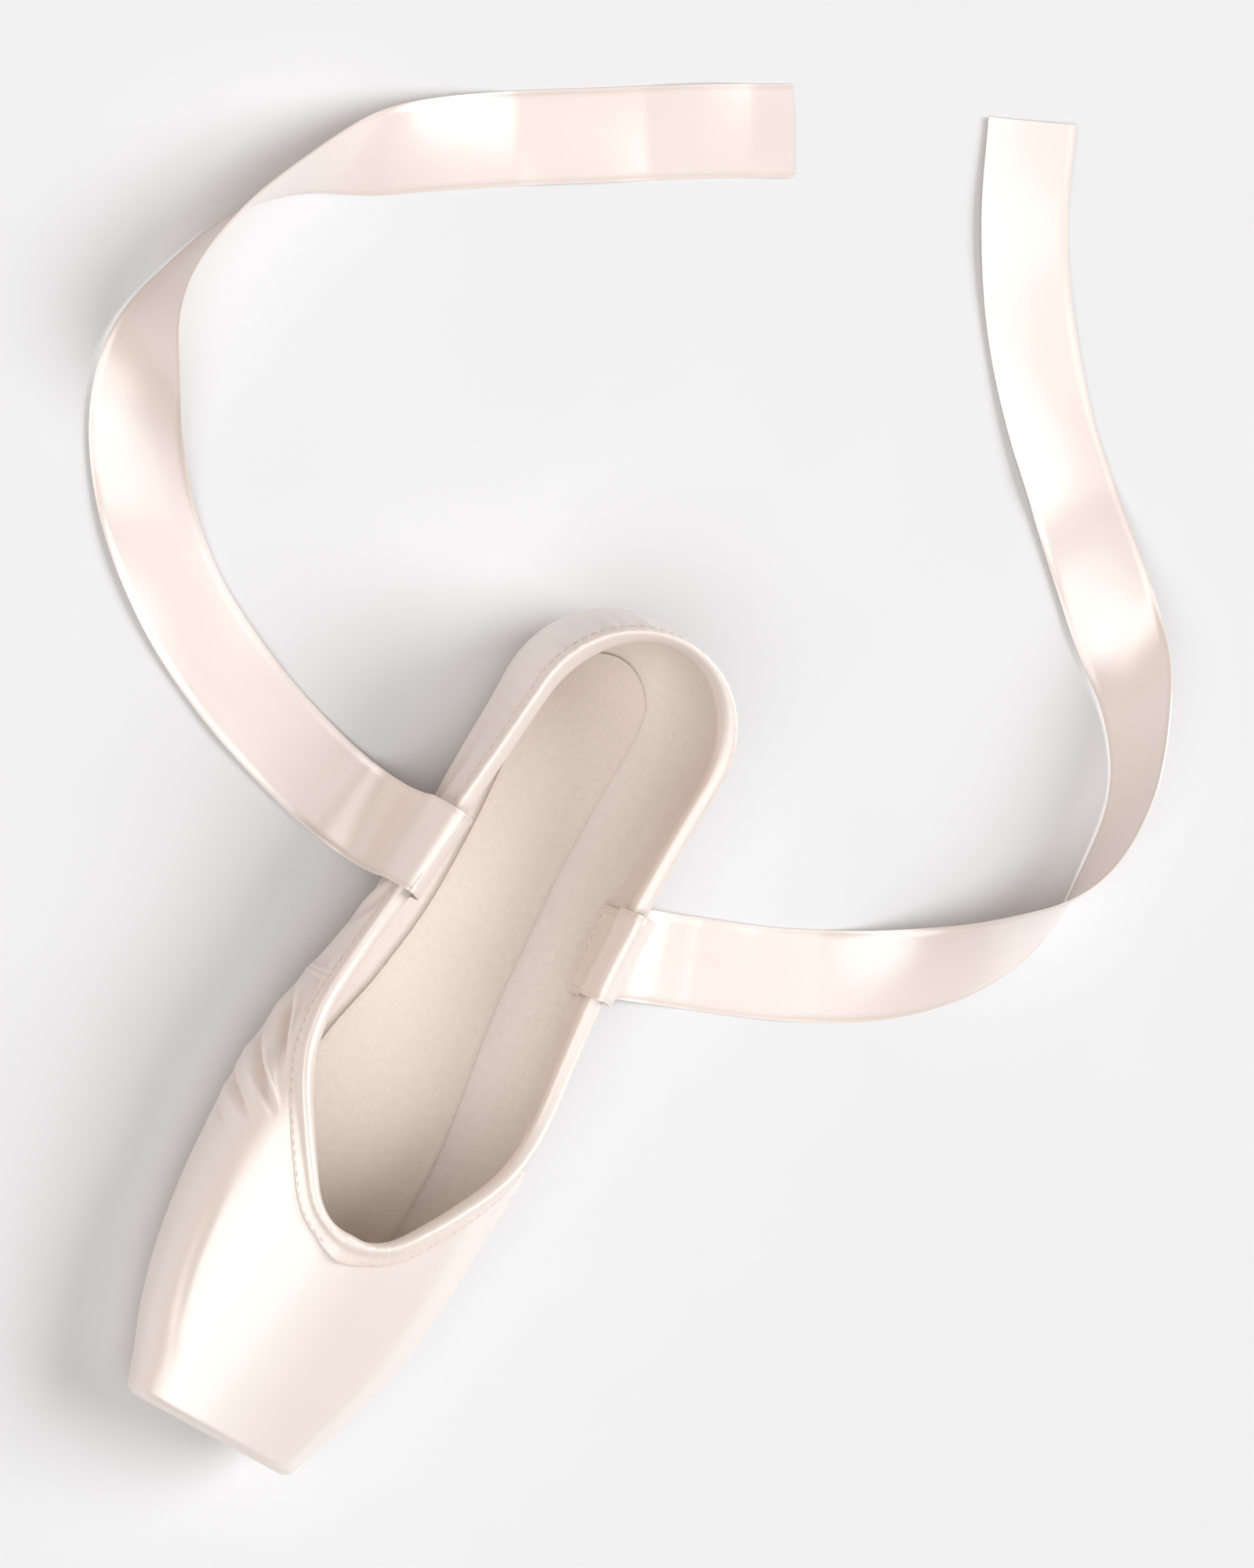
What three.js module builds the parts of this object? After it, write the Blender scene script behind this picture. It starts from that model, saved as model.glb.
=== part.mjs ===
// Pointe shoe on a straight last, so it fits either foot: a hollow satin upper with a flat platform at the
// toe, a leather outsole, an insole, the binding round the topline and two ribbons lying on the floor.
// Millimetres, +Z up, toe towards -Y, floor at Z = 0, origin under the middle of the shoe.
import * as THREE from 'three';
import { mergeVertices } from 'three/addons/utils/BufferGeometryUtils.js';

// Driving sizes of the shoe
const LENGTH = 236; // platform to the back of the heel
const THROAT = 60; // platform to the bottom of the throat
const WALL = 1.8; // satin, canvas and lining together
const PLATFORM_WALL = 4; // stiffened end of the box
const PLATFORM_EDGE = 2.5; // rounding round the platform
const PLATFORM_SETBACK = 0.8; // how far the platform's top lies behind its bottom
const HEEL_ROUND = 30; // length over which the heel closes, seen from above
const HEEL_TUCK = 22; // length of the curve under the back of the heel
const HEEL_LEAN = 5; // how far the collar leans forward at the back
const HEEL_LEAN_REACH = 60; // length over which that lean fades out
const GAP = 0.3; // clearance between pieces that meet

// Sole, insole and binding
const OUTSOLE_THICKNESS = 2.5;
const OUTSOLE_FRONT = 18; // front edge, behind the platform
const OUTSOLE_BACK = 219; // rounded back edge
const OUTSOLE_FRONT_ROUND = 10; // length of the rounding at its front
const OUTSOLE_BACK_ROUND = 14; // length of the rounding at its back
const OUTSOLE_REVEAL = 1; // how far its edge stays inside the flat of the last
const OUTSOLE_BEVEL = 0.6;
const SOLE_LAP = 7; // satin turned under the outsole's edge
const INSOLE_THICKNESS = 1.5;
const INSOLE_FRONT = 10;
const INSOLE_BACK = 224;
const INSOLE_ROUND = 10;
const INSOLE_BEVEL = 0.3;
const BINDING_DROP = 4.6; // width of the binding outside
const BINDING_TURN = 5; // width of the binding inside
const BINDING_WALL = 0.8;
const BINDING_GAP = 0.5; // clearance to the satin, more than GAP because both are curved
const BINDING_ROLL = 0.6; // extra fullness over the drawstring
const BINDING_MITRE = 1.8; // extra width at the point of the throat
const BINDING_MITRE_REACH = 0.08; // share of the topline over which the mitre runs out
const RIBBON_WIDTH = 24;
const RIBBON_THICKNESS = 0.6;

// Steps of the meshes
const TOE_ROWS = 14;
const QUARTER_ROWS = 28;
const FLAT_STEPS = 2;
const LOWER_STEPS = 5;
const UPPER_STEPS = 10;
const PLATE_ROWS = 34;
const RIBBON_ROWS = 80;
const SLOPE_STEP = 1e-4;

// Sections of the last by distance behind the platform: half width, half width of its flat bottom, height of
// the bottom, of the widest line and of the crown, and how full the crown's curve is (2 is an ellipse).
const SECTIONS = [
  { at: 0, half: 23.6, flat: 11.0, bottom: 6.2, widest: 18.5, crown: 32.0, fullness: 2.6 },
  { at: 10, half: 26.9, flat: 13.5, bottom: 4.8, widest: 18.3, crown: 34.6, fullness: 2.5 },
  { at: 22, half: 31.4, flat: 17.0, bottom: 3.6, widest: 18.0, crown: 37.6, fullness: 2.4 },
  { at: 40, half: 35.8, flat: 21.0, bottom: 2.8, widest: 17.5, crown: 41.6, fullness: 2.3 },
  { at: 62, half: 38.4, flat: 23.3, bottom: 2.8, widest: 17.0, crown: 45.8, fullness: 2.2 },
  { at: 84, half: 39.2, flat: 24.0, bottom: 2.8, widest: 16.8, crown: 50.0, fullness: 2.1 },
  { at: 104, half: 37.4, flat: 21.8, bottom: 3.6, widest: 17.5, crown: 57.0, fullness: 2.1 },
  { at: 124, half: 33.6, flat: 18.0, bottom: 5.8, widest: 19.0, crown: 66.0, fullness: 2.1 },
  { at: 146, half: 30.4, flat: 15.5, bottom: 7.0, widest: 21.0, crown: 74.0, fullness: 2.1 },
  { at: 168, half: 28.8, flat: 14.8, bottom: 4.8, widest: 22.0, crown: 77.0, fullness: 2.1 },
  { at: 190, half: 28.3, flat: 15.4, bottom: 2.8, widest: 22.5, crown: 77.0, fullness: 2.1 },
  { at: 212, half: 28.4, flat: 16.0, bottom: 2.8, widest: 23.0, crown: 77.0, fullness: 2.1 },
  { at: 236, half: 28.4, flat: 16.0, bottom: 2.8, widest: 23.5, crown: 77.0, fullness: 2.1 },
];

// Smooth curve through one column of a table: level stretches stay level and nothing overshoots.
function curveThrough(rows, column) {
  const last = rows.length - 1;
  const span = (i) => rows[i + 1].at - rows[i].at;
  const slope = (i) => (rows[i + 1][column] - rows[i][column]) / span(i);
  const tangents = rows.map((row, i) => {
    if (i === 0) return slope(0);
    if (i === last) return slope(last - 1);
    const before = slope(i - 1);
    const after = slope(i);
    if (before * after <= 0) return 0;
    const wide = 2 * span(i) + span(i - 1);
    const narrow = span(i) + 2 * span(i - 1);
    return (wide + narrow) / (wide / before + narrow / after);
  });
  return (at) => {
    const found = rows.findIndex((row, i) => i < last && at <= rows[i + 1].at);
    const i = found < 0 ? last - 1 : found;
    const length = span(i);
    const t = THREE.MathUtils.clamp((at - rows[i].at) / length, 0, 1);
    const start = (1 + 2 * t) * (1 - t) ** 2 * rows[i][column] + t * (1 - t) ** 2 * length * tangents[i];
    const end = t ** 2 * (3 - 2 * t) * rows[i + 1][column] + t ** 2 * (t - 1) * length * tangents[i + 1];
    return start + end;
  };
}

const last = {};
for (const column of ['half', 'flat', 'bottom', 'widest', 'crown', 'fullness']) {
  last[column] = curveThrough(SECTIONS, column);
}

// Topline from the throat to the back seam, seen from the side
const TOPLINE = [
  { at: THROAT, height: last.crown(THROAT) },
  { at: 70, height: 45.0 },
  { at: 78, height: 44.0 },
  { at: 88, height: 41.9 },
  { at: 100, height: 39.0 },
  { at: 112, height: 37.3 },
  { at: 126, height: 36.6 },
  { at: 146, height: 37.4 },
  { at: 168, height: 40.2 },
  { at: 190, height: 44.4 },
  { at: 212, height: 48.9 },
  { at: LENGTH, height: 53.5 },
];
const toplineHeight = curveThrough(TOPLINE, 'height');

// How far along the shoe a share of its rows lies: rows crowd towards the platform and the heel.
const reachOf = (share) => (LENGTH * (1 - Math.cos(Math.PI * share))) / 2;
const shareOf = (reach) => Math.acos(1 - (2 * reach) / LENGTH) / Math.PI;
const fade = (share) => Math.max(0, 1 - share) ** 2;

// Round end of a piece: 1 before it starts, then down to 0 along a quarter ellipse.
function roundEnd(at, start, end) {
  const share = THREE.MathUtils.clamp((at - start) / (end - start), 0, 1);
  return Math.sqrt(1 - share ** 2);
}

// Height of the last's bottom, which curves up to the widest line at the back of the heel.
function bottomAt(at, grow) {
  const heel = LENGTH + grow;
  const low = last.bottom(at) - grow;
  return low + (last.widest(at) - low) * (1 - roundEnd(at, heel - HEEL_TUCK, heel));
}

// Sizes of the section at a share of the rows, on the last grown outwards (or inwards if negative).
function sectionAt(share, grow) {
  const toe = grow < 0 ? PLATFORM_WALL - WALL - grow : -grow;
  const heel = LENGTH + grow;
  const plain = reachOf(share);
  const at = plain + toe * fade(plain / THROAT) + grow * fade((LENGTH - plain) / HEEL_ROUND);
  const edge = PLATFORM_EDGE * (1 - roundEnd(PLATFORM_EDGE - (at - toe), 0, PLATFORM_EDGE));
  const closing = roundEnd(at, heel - HEEL_ROUND, heel);
  return {
    at,
    half: (last.half(at) + grow - edge) * closing,
    flat: (last.flat(at) + Math.min(grow, 0) - edge) * closing,
    bottom: bottomAt(at, grow) + edge,
    widest: last.widest(at),
    crown: last.crown(at) + grow - edge,
    fullness: last.fullness(at),
  };
}

// Lean of the platform and of the heel's collar, as a shift along the shoe.
function leanAt(at, height) {
  const platformHeight = last.crown(0) - last.bottom(0);
  const toe = PLATFORM_SETBACK * ((height - last.bottom(0)) / platformHeight) * fade(at / THROAT);
  const rise = (height - last.widest(LENGTH)) / (toplineHeight(LENGTH) - last.widest(LENGTH));
  const heel = HEEL_LEAN * Math.max(0, rise) ** 1.5 * fade((LENGTH - at) / HEEL_LEAN_REACH);
  return toe - heel;
}

// Point on the last. Round the section, turn 0 to 1 is the flat bottom from the middle outwards, 1 to 2 the
// curve up to the widest line and 2 to 3 the curve from there over to the crown.
function onLast(share, turn, grow) {
  const section = sectionAt(share, grow);
  let x = section.flat * turn;
  let z = section.bottom;
  if (turn > 2) {
    const angle = ((turn - 2) * Math.PI) / 2;
    const power = section.fullness;
    const reach = (Math.abs(Math.cos(angle)) ** power + Math.sin(angle) ** power) ** (-1 / power);
    x = section.half * reach * Math.cos(angle);
    z = section.widest + (section.crown - section.widest) * reach * Math.sin(angle);
  } else if (turn > 1) {
    const angle = ((turn - 1) * Math.PI) / 2;
    x = section.flat + (section.half - section.flat) * Math.sin(angle);
    z = section.widest - (section.widest - section.bottom) * Math.cos(angle);
  }
  return new THREE.Vector3(x, section.at - LENGTH / 2 + leanAt(section.at, z), z);
}

// Topline at a share of the way from the throat to the back seam, as a place on the last.
function topline(way) {
  const throat = shareOf(THROAT);
  const share = throat + (1 - throat) * way ** 2 * (2 - way);
  const section = sectionAt(share, 0);
  const rise = (toplineHeight(section.at) - section.widest) / (section.crown - section.widest);
  const height = Math.min(1, rise);
  const power = section.fullness;
  const angle = Math.atan2(height, (1 - height ** power) ** (1 / power));
  return { share, turn: 2 + angle / (Math.PI / 2) };
}

// Faces gathered for one closed solid, on both sides of the shoe's middle plane.
class Solid {
  constructor() {
    this.triangles = [];
  }

  face(points, reversed = false) {
    const ring = reversed ? [...points].reverse() : points;
    for (let i = 1; i < ring.length - 1; i += 1) {
      const triangle = new THREE.Triangle(ring[0], ring[i], ring[i + 1]);
      if (triangle.getArea() > 1e-7) this.triangles.push(triangle);
    }
  }

  bothSides(points) {
    this.face(points);
    this.face(points.map((point) => new THREE.Vector3(-point.x, point.y, point.z)), true);
  }

  geometry() {
    const corners = this.triangles.flatMap((triangle) => [triangle.a, triangle.b, triangle.c]);
    const geometry = mergeVertices(new THREE.BufferGeometry().setFromPoints(corners));
    geometry.computeVertexNormals();
    return geometry;
  }
}

// Closed loft through rings of equal length, with its two end rings filled. Opposite faces are split along the
// same diagonal, so a thin strip keeps its thickness where it twists.
function loft(rings) {
  const solid = new Solid();
  const count = rings[0].length;
  for (let i = 0; i < rings.length - 1; i += 1) {
    for (let j = 0; j < count; j += 1) {
      const next = (j + 1) % count;
      const quad = [rings[i][j], rings[i][next], rings[i + 1][next], rings[i + 1][j]];
      if (j >= count / 2) quad.push(quad.shift());
      solid.face(quad);
    }
  }
  solid.face(rings[0], true);
  solid.face(rings[rings.length - 1]);
  return solid.geometry();
}

// One row of the upper, from the edge of the sole opening up to the crown or the topline.
function upperRow(index, grow) {
  const throat = shareOf(THROAT);
  const way = Math.max(0, (index - TOE_ROWS) / QUARTER_ROWS);
  const low = index <= TOE_ROWS ? (throat * index) / TOE_ROWS : throat + (1 - throat) * way;
  const top = index <= TOE_ROWS ? { share: low, turn: 3 } : topline(way);
  const section = sectionAt(low, 0);
  const open = section.at > OUTSOLE_FRONT + SOLE_LAP && section.at < OUTSOLE_BACK - SOLE_LAP;
  const edge = open ? 1 - SOLE_LAP / section.flat : 0;
  const points = [];
  for (let step = 0; step < FLAT_STEPS; step += 1) {
    points.push(onLast(low, edge + ((1 - edge) * step) / FLAT_STEPS, grow));
  }
  const steps = LOWER_STEPS + UPPER_STEPS;
  for (let step = 0; step <= steps; step += 1) {
    const below = step <= LOWER_STEPS;
    const upper = (top.turn - 2) * ((step - LOWER_STEPS) / UPPER_STEPS);
    const turn = below ? 1 + step / LOWER_STEPS : 2 + upper;
    const slant = THREE.MathUtils.smoothstep(step / steps, 0, 1);
    points.push(onLast(low + (top.share - low) * slant, turn, grow));
  }
  return { points, open };
}

function upperGeometry() {
  const solid = new Solid();
  const count = TOE_ROWS + QUARTER_ROWS;
  const outer = Array.from({ length: count + 1 }, (_, i) => upperRow(i, 0));
  const inner = Array.from({ length: count + 1 }, (_, i) => upperRow(i, -WALL));
  const top = outer[0].points.length - 1;
  for (let i = 0; i < count; i += 1) {
    const [out, outNext] = [outer[i].points, outer[i + 1].points];
    const [ins, insNext] = [inner[i].points, inner[i + 1].points];
    for (let j = 0; j < top; j += 1) {
      solid.bothSides([out[j], outNext[j], outNext[j + 1], out[j + 1]]);
      solid.bothSides([ins[j], ins[j + 1], insNext[j + 1], insNext[j]]);
    }
    if (i >= TOE_ROWS) solid.bothSides([out[top], outNext[top], insNext[top], ins[top]]);
    if (outer[i].open || outer[i + 1].open) solid.bothSides([out[0], ins[0], insNext[0], outNext[0]]);
  }
  capPlatform(solid, outer[0].points, false);
  capPlatform(solid, inner[0].points, true);
  return solid.geometry();
}

// Flat end of the box, filled from its middle.
function capPlatform(solid, row, inside) {
  const middle = new THREE.Vector3().addVectors(row[0], row[row.length - 1]).multiplyScalar(0.5);
  for (let j = 0; j < row.length - 1; j += 1) {
    solid.bothSides(inside ? [middle, row[j + 1], row[j]] : [middle, row[j], row[j + 1]]);
  }
}

// Flat plate across the shoe that follows the last's bottom, with rounded ends and a small bevel below.
function plateGeometry({ front, back, frontRound, backRound, halfAt, lowAt, thickness, bevel }) {
  const rings = [];
  for (let i = 0; i <= PLATE_ROWS; i += 1) {
    const at = front + ((back - front) * (1 - Math.cos((Math.PI * i) / PLATE_ROWS))) / 2;
    const ends = roundEnd(-at, -front - frontRound, -front) * roundEnd(at, back - backRound, back);
    const half = Math.max(halfAt(at) * ends, 2 * bevel);
    const [low, high] = [lowAt(at), lowAt(at) + thickness];
    const y = at - LENGTH / 2;
    const outline = [
      [bevel - half, low],
      [half - bevel, low],
      [half, low + bevel],
      [half, high],
      [-half, high],
      [-half, low + bevel],
    ];
    rings.push(outline.map(([x, z]) => new THREE.Vector3(x, y, z)).reverse());
  }
  return loft(rings);
}

function outsoleGeometry() {
  return plateGeometry({
    front: OUTSOLE_FRONT,
    back: OUTSOLE_BACK,
    frontRound: OUTSOLE_FRONT_ROUND,
    backRound: OUTSOLE_BACK_ROUND,
    halfAt: (at) => last.flat(at) - OUTSOLE_REVEAL,
    lowAt: (at) => last.bottom(at) - GAP - OUTSOLE_THICKNESS,
    thickness: OUTSOLE_THICKNESS,
    bevel: OUTSOLE_BEVEL,
  });
}

function insoleGeometry() {
  const heel = LENGTH - WALL;
  return plateGeometry({
    front: INSOLE_FRONT,
    back: INSOLE_BACK,
    frontRound: INSOLE_ROUND,
    backRound: INSOLE_ROUND,
    halfAt: (at) => (last.flat(at) - WALL) * roundEnd(at, heel - HEEL_ROUND, heel),
    lowAt: (at) => bottomAt(at, -WALL - GAP),
    thickness: INSOLE_THICKNESS,
    bevel: INSOLE_BEVEL,
  });
}

// Point on the grown last, a distance below the topline measured along the surface.
function belowTopline(way, below, grow) {
  const { share, turn } = topline(way);
  const here = onLast(share, turn, 0);
  const sign = way < 0.5 ? 1 : -1;
  const beside = topline(way + sign * SLOPE_STEP);
  const along = onLast(beside.share, beside.turn, 0).sub(here).multiplyScalar(sign).normalize();
  const byShare = here.clone().sub(onLast(share - SLOPE_STEP, turn, 0)).divideScalar(SLOPE_STEP);
  const byTurn = here.clone().sub(onLast(share, turn - SLOPE_STEP, 0)).divideScalar(SLOPE_STEP);
  const outward = new THREE.Vector3().crossVectors(byShare, byTurn).normalize();
  const down = along.clone().cross(outward);
  const [ss, st, tt] = [byShare.dot(byShare), byShare.dot(byTurn), byTurn.dot(byTurn)];
  const [sd, td] = [byShare.dot(down), byTurn.dot(down)];
  const scale = below / (ss * tt - st * st);
  const point = onLast(share + (sd * tt - td * st) * scale, turn + (td * ss - sd * st) * scale, grow);
  if (way === 0 || way === 1) point.x = 0;
  return point;
}

// Casing folded over the raw edge: an outer leg, a roll over the drawstring and an inner leg.
function bindingGeometry() {
  const inside = -WALL - BINDING_GAP;
  const outer = BINDING_GAP + BINDING_WALL;
  const inner = inside - BINDING_WALL;
  const profile = [
    [BINDING_DROP, BINDING_GAP],
    [BINDING_DROP, outer],
    [BINDING_DROP / 2, outer],
    [BINDING_DROP / 4, outer + BINDING_ROLL],
    [0, outer + BINDING_ROLL / 2],
    [-BINDING_GAP - BINDING_WALL, BINDING_GAP],
    [-BINDING_GAP - BINDING_WALL, inside],
    [0, inner],
    [BINDING_TURN, inner],
    [BINDING_TURN, inside],
    [-BINDING_GAP, inside],
    [-BINDING_GAP, BINDING_GAP],
    [BINDING_DROP / 4, BINDING_GAP],
    [BINDING_DROP / 2, BINDING_GAP],
    [(BINDING_DROP * 3) / 4, BINDING_GAP],
  ];
  const solid = new Solid();
  const rings = Array.from({ length: QUARTER_ROWS + 1 }, (_, i) => {
    const way = i / QUARTER_ROWS;
    const mitre = 1 + (BINDING_MITRE / BINDING_DROP) * Math.max(0, 1 - way / BINDING_MITRE_REACH);
    return profile.map(([below, grow]) => belowTopline(way, grow > 0 ? below * mitre : below, grow));
  });
  for (let i = 0; i < QUARTER_ROWS; i += 1) {
    for (let j = 0; j < profile.length; j += 1) {
      const next = (j + 1) % profile.length;
      solid.bothSides([rings[i][j], rings[i + 1][j], rings[i + 1][next], rings[i][next]]);
    }
  }
  return solid.geometry();
}

// Ribbons: the route of the middle line from inside the quarter over the collar to the floor, with the heading
// of the ribbon's width seen from above and the rise of that width off the floor, in degrees.
const RIBBON_LEFT = [
  { x: 26.0, y: 37, z: 17, heading: 94.5, rise: 7 },
  { x: 26.7, y: 37, z: 22.5, heading: 94.5, rise: 7 },
  { x: 26.5, y: 37, z: 28, heading: 94.5, rise: 7 },
  { x: 24.8, y: 37, z: 33, heading: 94.5, rise: 7 },
  { x: 24.0, y: 37, z: 38, heading: 94, rise: 7 },
  { x: 28.0, y: 37.5, z: 43.8, heading: 93, rise: 7 },
  { x: 33.6, y: 38, z: 36, heading: 92, rise: 7 },
  { x: 34.0, y: 38.5, z: 24, heading: 92, rise: 3 },
  { x: 36.5, y: 40, z: 11, heading: 96, rise: 0 },
  { x: 44.5, y: 43, z: 2.6, heading: 106, rise: 0 },
  { x: 58, y: 48, z: 0.8, heading: 112, rise: 0 },
  { x: 83, y: 58, z: 0.8, heading: 117, rise: 0 },
  { x: 108, y: 72, z: 2.2, heading: 128, rise: 10 },
  { x: 128, y: 91, z: 8, heading: 146, rise: 42 },
  { x: 139, y: 115, z: 12.4, heading: 168, rise: 80 },
  { x: 139, y: 142, z: 12.5, heading: 191, rise: 98 },
  { x: 127, y: 166, z: 10.5, heading: 212, rise: 122 },
  { x: 109, y: 185, z: 4.5, heading: 223, rise: 160 },
  { x: 90, y: 202, z: 0.8, heading: 227, rise: 180 },
  { x: 71, y: 219, z: 0.8, heading: 226, rise: 180 },
  { x: 54, y: 238, z: 0.8, heading: 220, rise: 180 },
  { x: 40, y: 259, z: 0.8, heading: 213, rise: 180 },
  { x: 29, y: 282, z: 0.8, heading: 207, rise: 180 },
];
const RIBBON_RIGHT = [
  { x: -26.0, y: 37, z: 17, heading: 85.5, rise: 7 },
  { x: -26.7, y: 37, z: 22.5, heading: 85.5, rise: 7 },
  { x: -26.5, y: 37, z: 28, heading: 85.5, rise: 7 },
  { x: -24.8, y: 37, z: 33, heading: 85.5, rise: 7 },
  { x: -24.0, y: 37, z: 38, heading: 86, rise: 7 },
  { x: -28.0, y: 37.5, z: 43.8, heading: 87, rise: 7 },
  { x: -33.6, y: 38, z: 36, heading: 88, rise: 7 },
  { x: -34.0, y: 38, z: 24, heading: 88, rise: 3 },
  { x: -36.5, y: 38.5, z: 11, heading: 87, rise: 0 },
  { x: -44.5, y: 40, z: 2.6, heading: 79, rise: 0 },
  { x: -58, y: 43, z: 0.8, heading: 74, rise: 0 },
  { x: -83, y: 51, z: 0.8, heading: 70, rise: 0 },
  { x: -107, y: 63, z: 0.8, heading: 61, rise: 0 },
  { x: -128, y: 80, z: 2.2, heading: 48, rise: 10 },
  { x: -144, y: 102, z: 7, heading: 30, rise: 36 },
  { x: -151, y: 127, z: 12.3, heading: 10, rise: 78 },
  { x: -146, y: 152, z: 12.5, heading: -14, rise: 96 },
  { x: -132, y: 174, z: 10.5, heading: -34, rise: 122 },
  { x: -113, y: 191, z: 4.5, heading: -47, rise: 160 },
  { x: -92, y: 206, z: 0.8, heading: -54, rise: 180 },
  { x: -70, y: 220, z: 0.8, heading: -57, rise: 180 },
  { x: -48, y: 234, z: 0.8, heading: -58, rise: 180 },
  { x: -26, y: 247, z: 0.8, heading: -60, rise: 180 },
];

function ribbonGeometry(route) {
  const middle = new THREE.CatmullRomCurve3(route.map(({ x, y, z }) => new THREE.Vector3(x, y, z)));
  const turns = route.map(({ heading, rise }) => new THREE.Vector3(heading, rise, 0));
  const lean = new THREE.CatmullRomCurve3(turns, false, 'catmullrom');
  const corners = [[-1, 1], [1, 1], [1, -1], [-1, -1]];
  const rings = [];
  for (let i = 0; i <= RIBBON_ROWS; i += 1) {
    const tangent = middle.getTangent(i / RIBBON_ROWS);
    const angles = lean.getPoint(i / RIBBON_ROWS).multiplyScalar(Math.PI / 180);
    const level = Math.cos(angles.y);
    const width = new THREE.Vector3(Math.cos(angles.x) * level, Math.sin(angles.x) * level, Math.sin(angles.y));
    width.addScaledVector(tangent, -width.dot(tangent)).normalize();
    const face = new THREE.Vector3().crossVectors(width, tangent);
    const centre = middle.getPoint(i / RIBBON_ROWS);
    centre.z = Math.max(centre.z, (RIBBON_WIDTH * Math.abs(width.z)) / 2 + RIBBON_THICKNESS);
    rings.push(corners.map(([side, skin]) => centre.clone()
      .addScaledVector(width, (side * RIBBON_WIDTH) / 2)
      .addScaledVector(face, (skin * RIBBON_THICKNESS) / 2)));
  }
  return loft(rings);
}

const satin = new THREE.MeshStandardMaterial({ color: 0xf7e9e0, roughness: 0.35, metalness: 0 });
const casing = new THREE.MeshStandardMaterial({ color: 0xf2e4db, roughness: 0.45, metalness: 0 });
const ribbon = new THREE.MeshStandardMaterial({ color: 0xf8ebe3, roughness: 0.35, metalness: 0 });
const leather = new THREE.MeshStandardMaterial({ color: 0xe6cdb2, roughness: 0.7, metalness: 0 });
const cloth = new THREE.MeshStandardMaterial({ color: 0xeadccb, roughness: 0.9, metalness: 0 });

const group = new THREE.Group();

function addPiece(name, geometry, material) {
  const mesh = new THREE.Mesh(geometry, material);
  mesh.name = name;
  group.add(mesh);
}

addPiece('upper', upperGeometry(), satin);
addPiece('outsole', outsoleGeometry(), leather);
addPiece('insole', insoleGeometry(), cloth);
addPiece('binding', bindingGeometry(), casing);
addPiece('ribbon_left', ribbonGeometry(RIBBON_LEFT), ribbon);
addPiece('ribbon_right', ribbonGeometry(RIBBON_RIGHT), ribbon);

export default group;
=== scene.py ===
"""Pointe shoe, dressed.

Satin upper with its lining, bound topline, leather outsole, insole, seams, stitches and two ribbons.
The shoe stands on its sole with the toe towards -Y. Tables are in millimetres, meshes in metres.
"""

import functools
import math

import bpy
import numpy as np
from mathutils import Matrix, Vector


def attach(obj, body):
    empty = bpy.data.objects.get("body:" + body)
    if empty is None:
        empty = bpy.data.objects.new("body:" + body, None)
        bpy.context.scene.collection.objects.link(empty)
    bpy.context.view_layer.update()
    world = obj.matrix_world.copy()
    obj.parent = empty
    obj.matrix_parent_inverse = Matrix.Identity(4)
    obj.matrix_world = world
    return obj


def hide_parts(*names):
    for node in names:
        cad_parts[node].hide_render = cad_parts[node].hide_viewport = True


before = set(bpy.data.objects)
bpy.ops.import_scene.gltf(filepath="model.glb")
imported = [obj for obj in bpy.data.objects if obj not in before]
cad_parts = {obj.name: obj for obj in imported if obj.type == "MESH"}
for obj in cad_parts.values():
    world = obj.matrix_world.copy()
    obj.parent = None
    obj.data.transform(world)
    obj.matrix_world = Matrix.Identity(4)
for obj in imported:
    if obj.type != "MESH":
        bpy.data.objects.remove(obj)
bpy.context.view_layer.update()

bl_info = {
    "name": "Pointe shoe",
    "version": (1, 0, 0),
    "blender": (4, 5, 0),
    "location": "3D View > Sidebar > Pointe shoe",
    "description": "Models a satin pointe shoe with its ribbons, piece by piece",
    "category": "Add Mesh",
}

MM = 0.001
SIDES = (-1, 1)

# The last, as in the solids
LENGTH = 236.0
THROAT = 60.0
WALL = 1.8
PLATFORM_WALL = 4.0
PLATFORM_EDGE = 2.5
PLATFORM_SETBACK = 0.8
HEEL_ROUND = 30.0
HEEL_TUCK = 22.0
HEEL_LEAN = 5.0
HEEL_LEAN_REACH = 60.0
GAP = 0.3
SOLE_LAP = 7.0
OUTSOLE_THICKNESS = 2.5
OUTSOLE_FRONT = 18.0
OUTSOLE_BACK = 219.0
OUTSOLE_FRONT_ROUND = 10.0
OUTSOLE_BACK_ROUND = 14.0
OUTSOLE_REVEAL = 1.0
INSOLE_THICKNESS = 1.5
INSOLE_FRONT = 10.0
INSOLE_BACK = 224.0
INSOLE_ROUND = 10.0
RIBBON_WIDTH = 24.0

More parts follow.
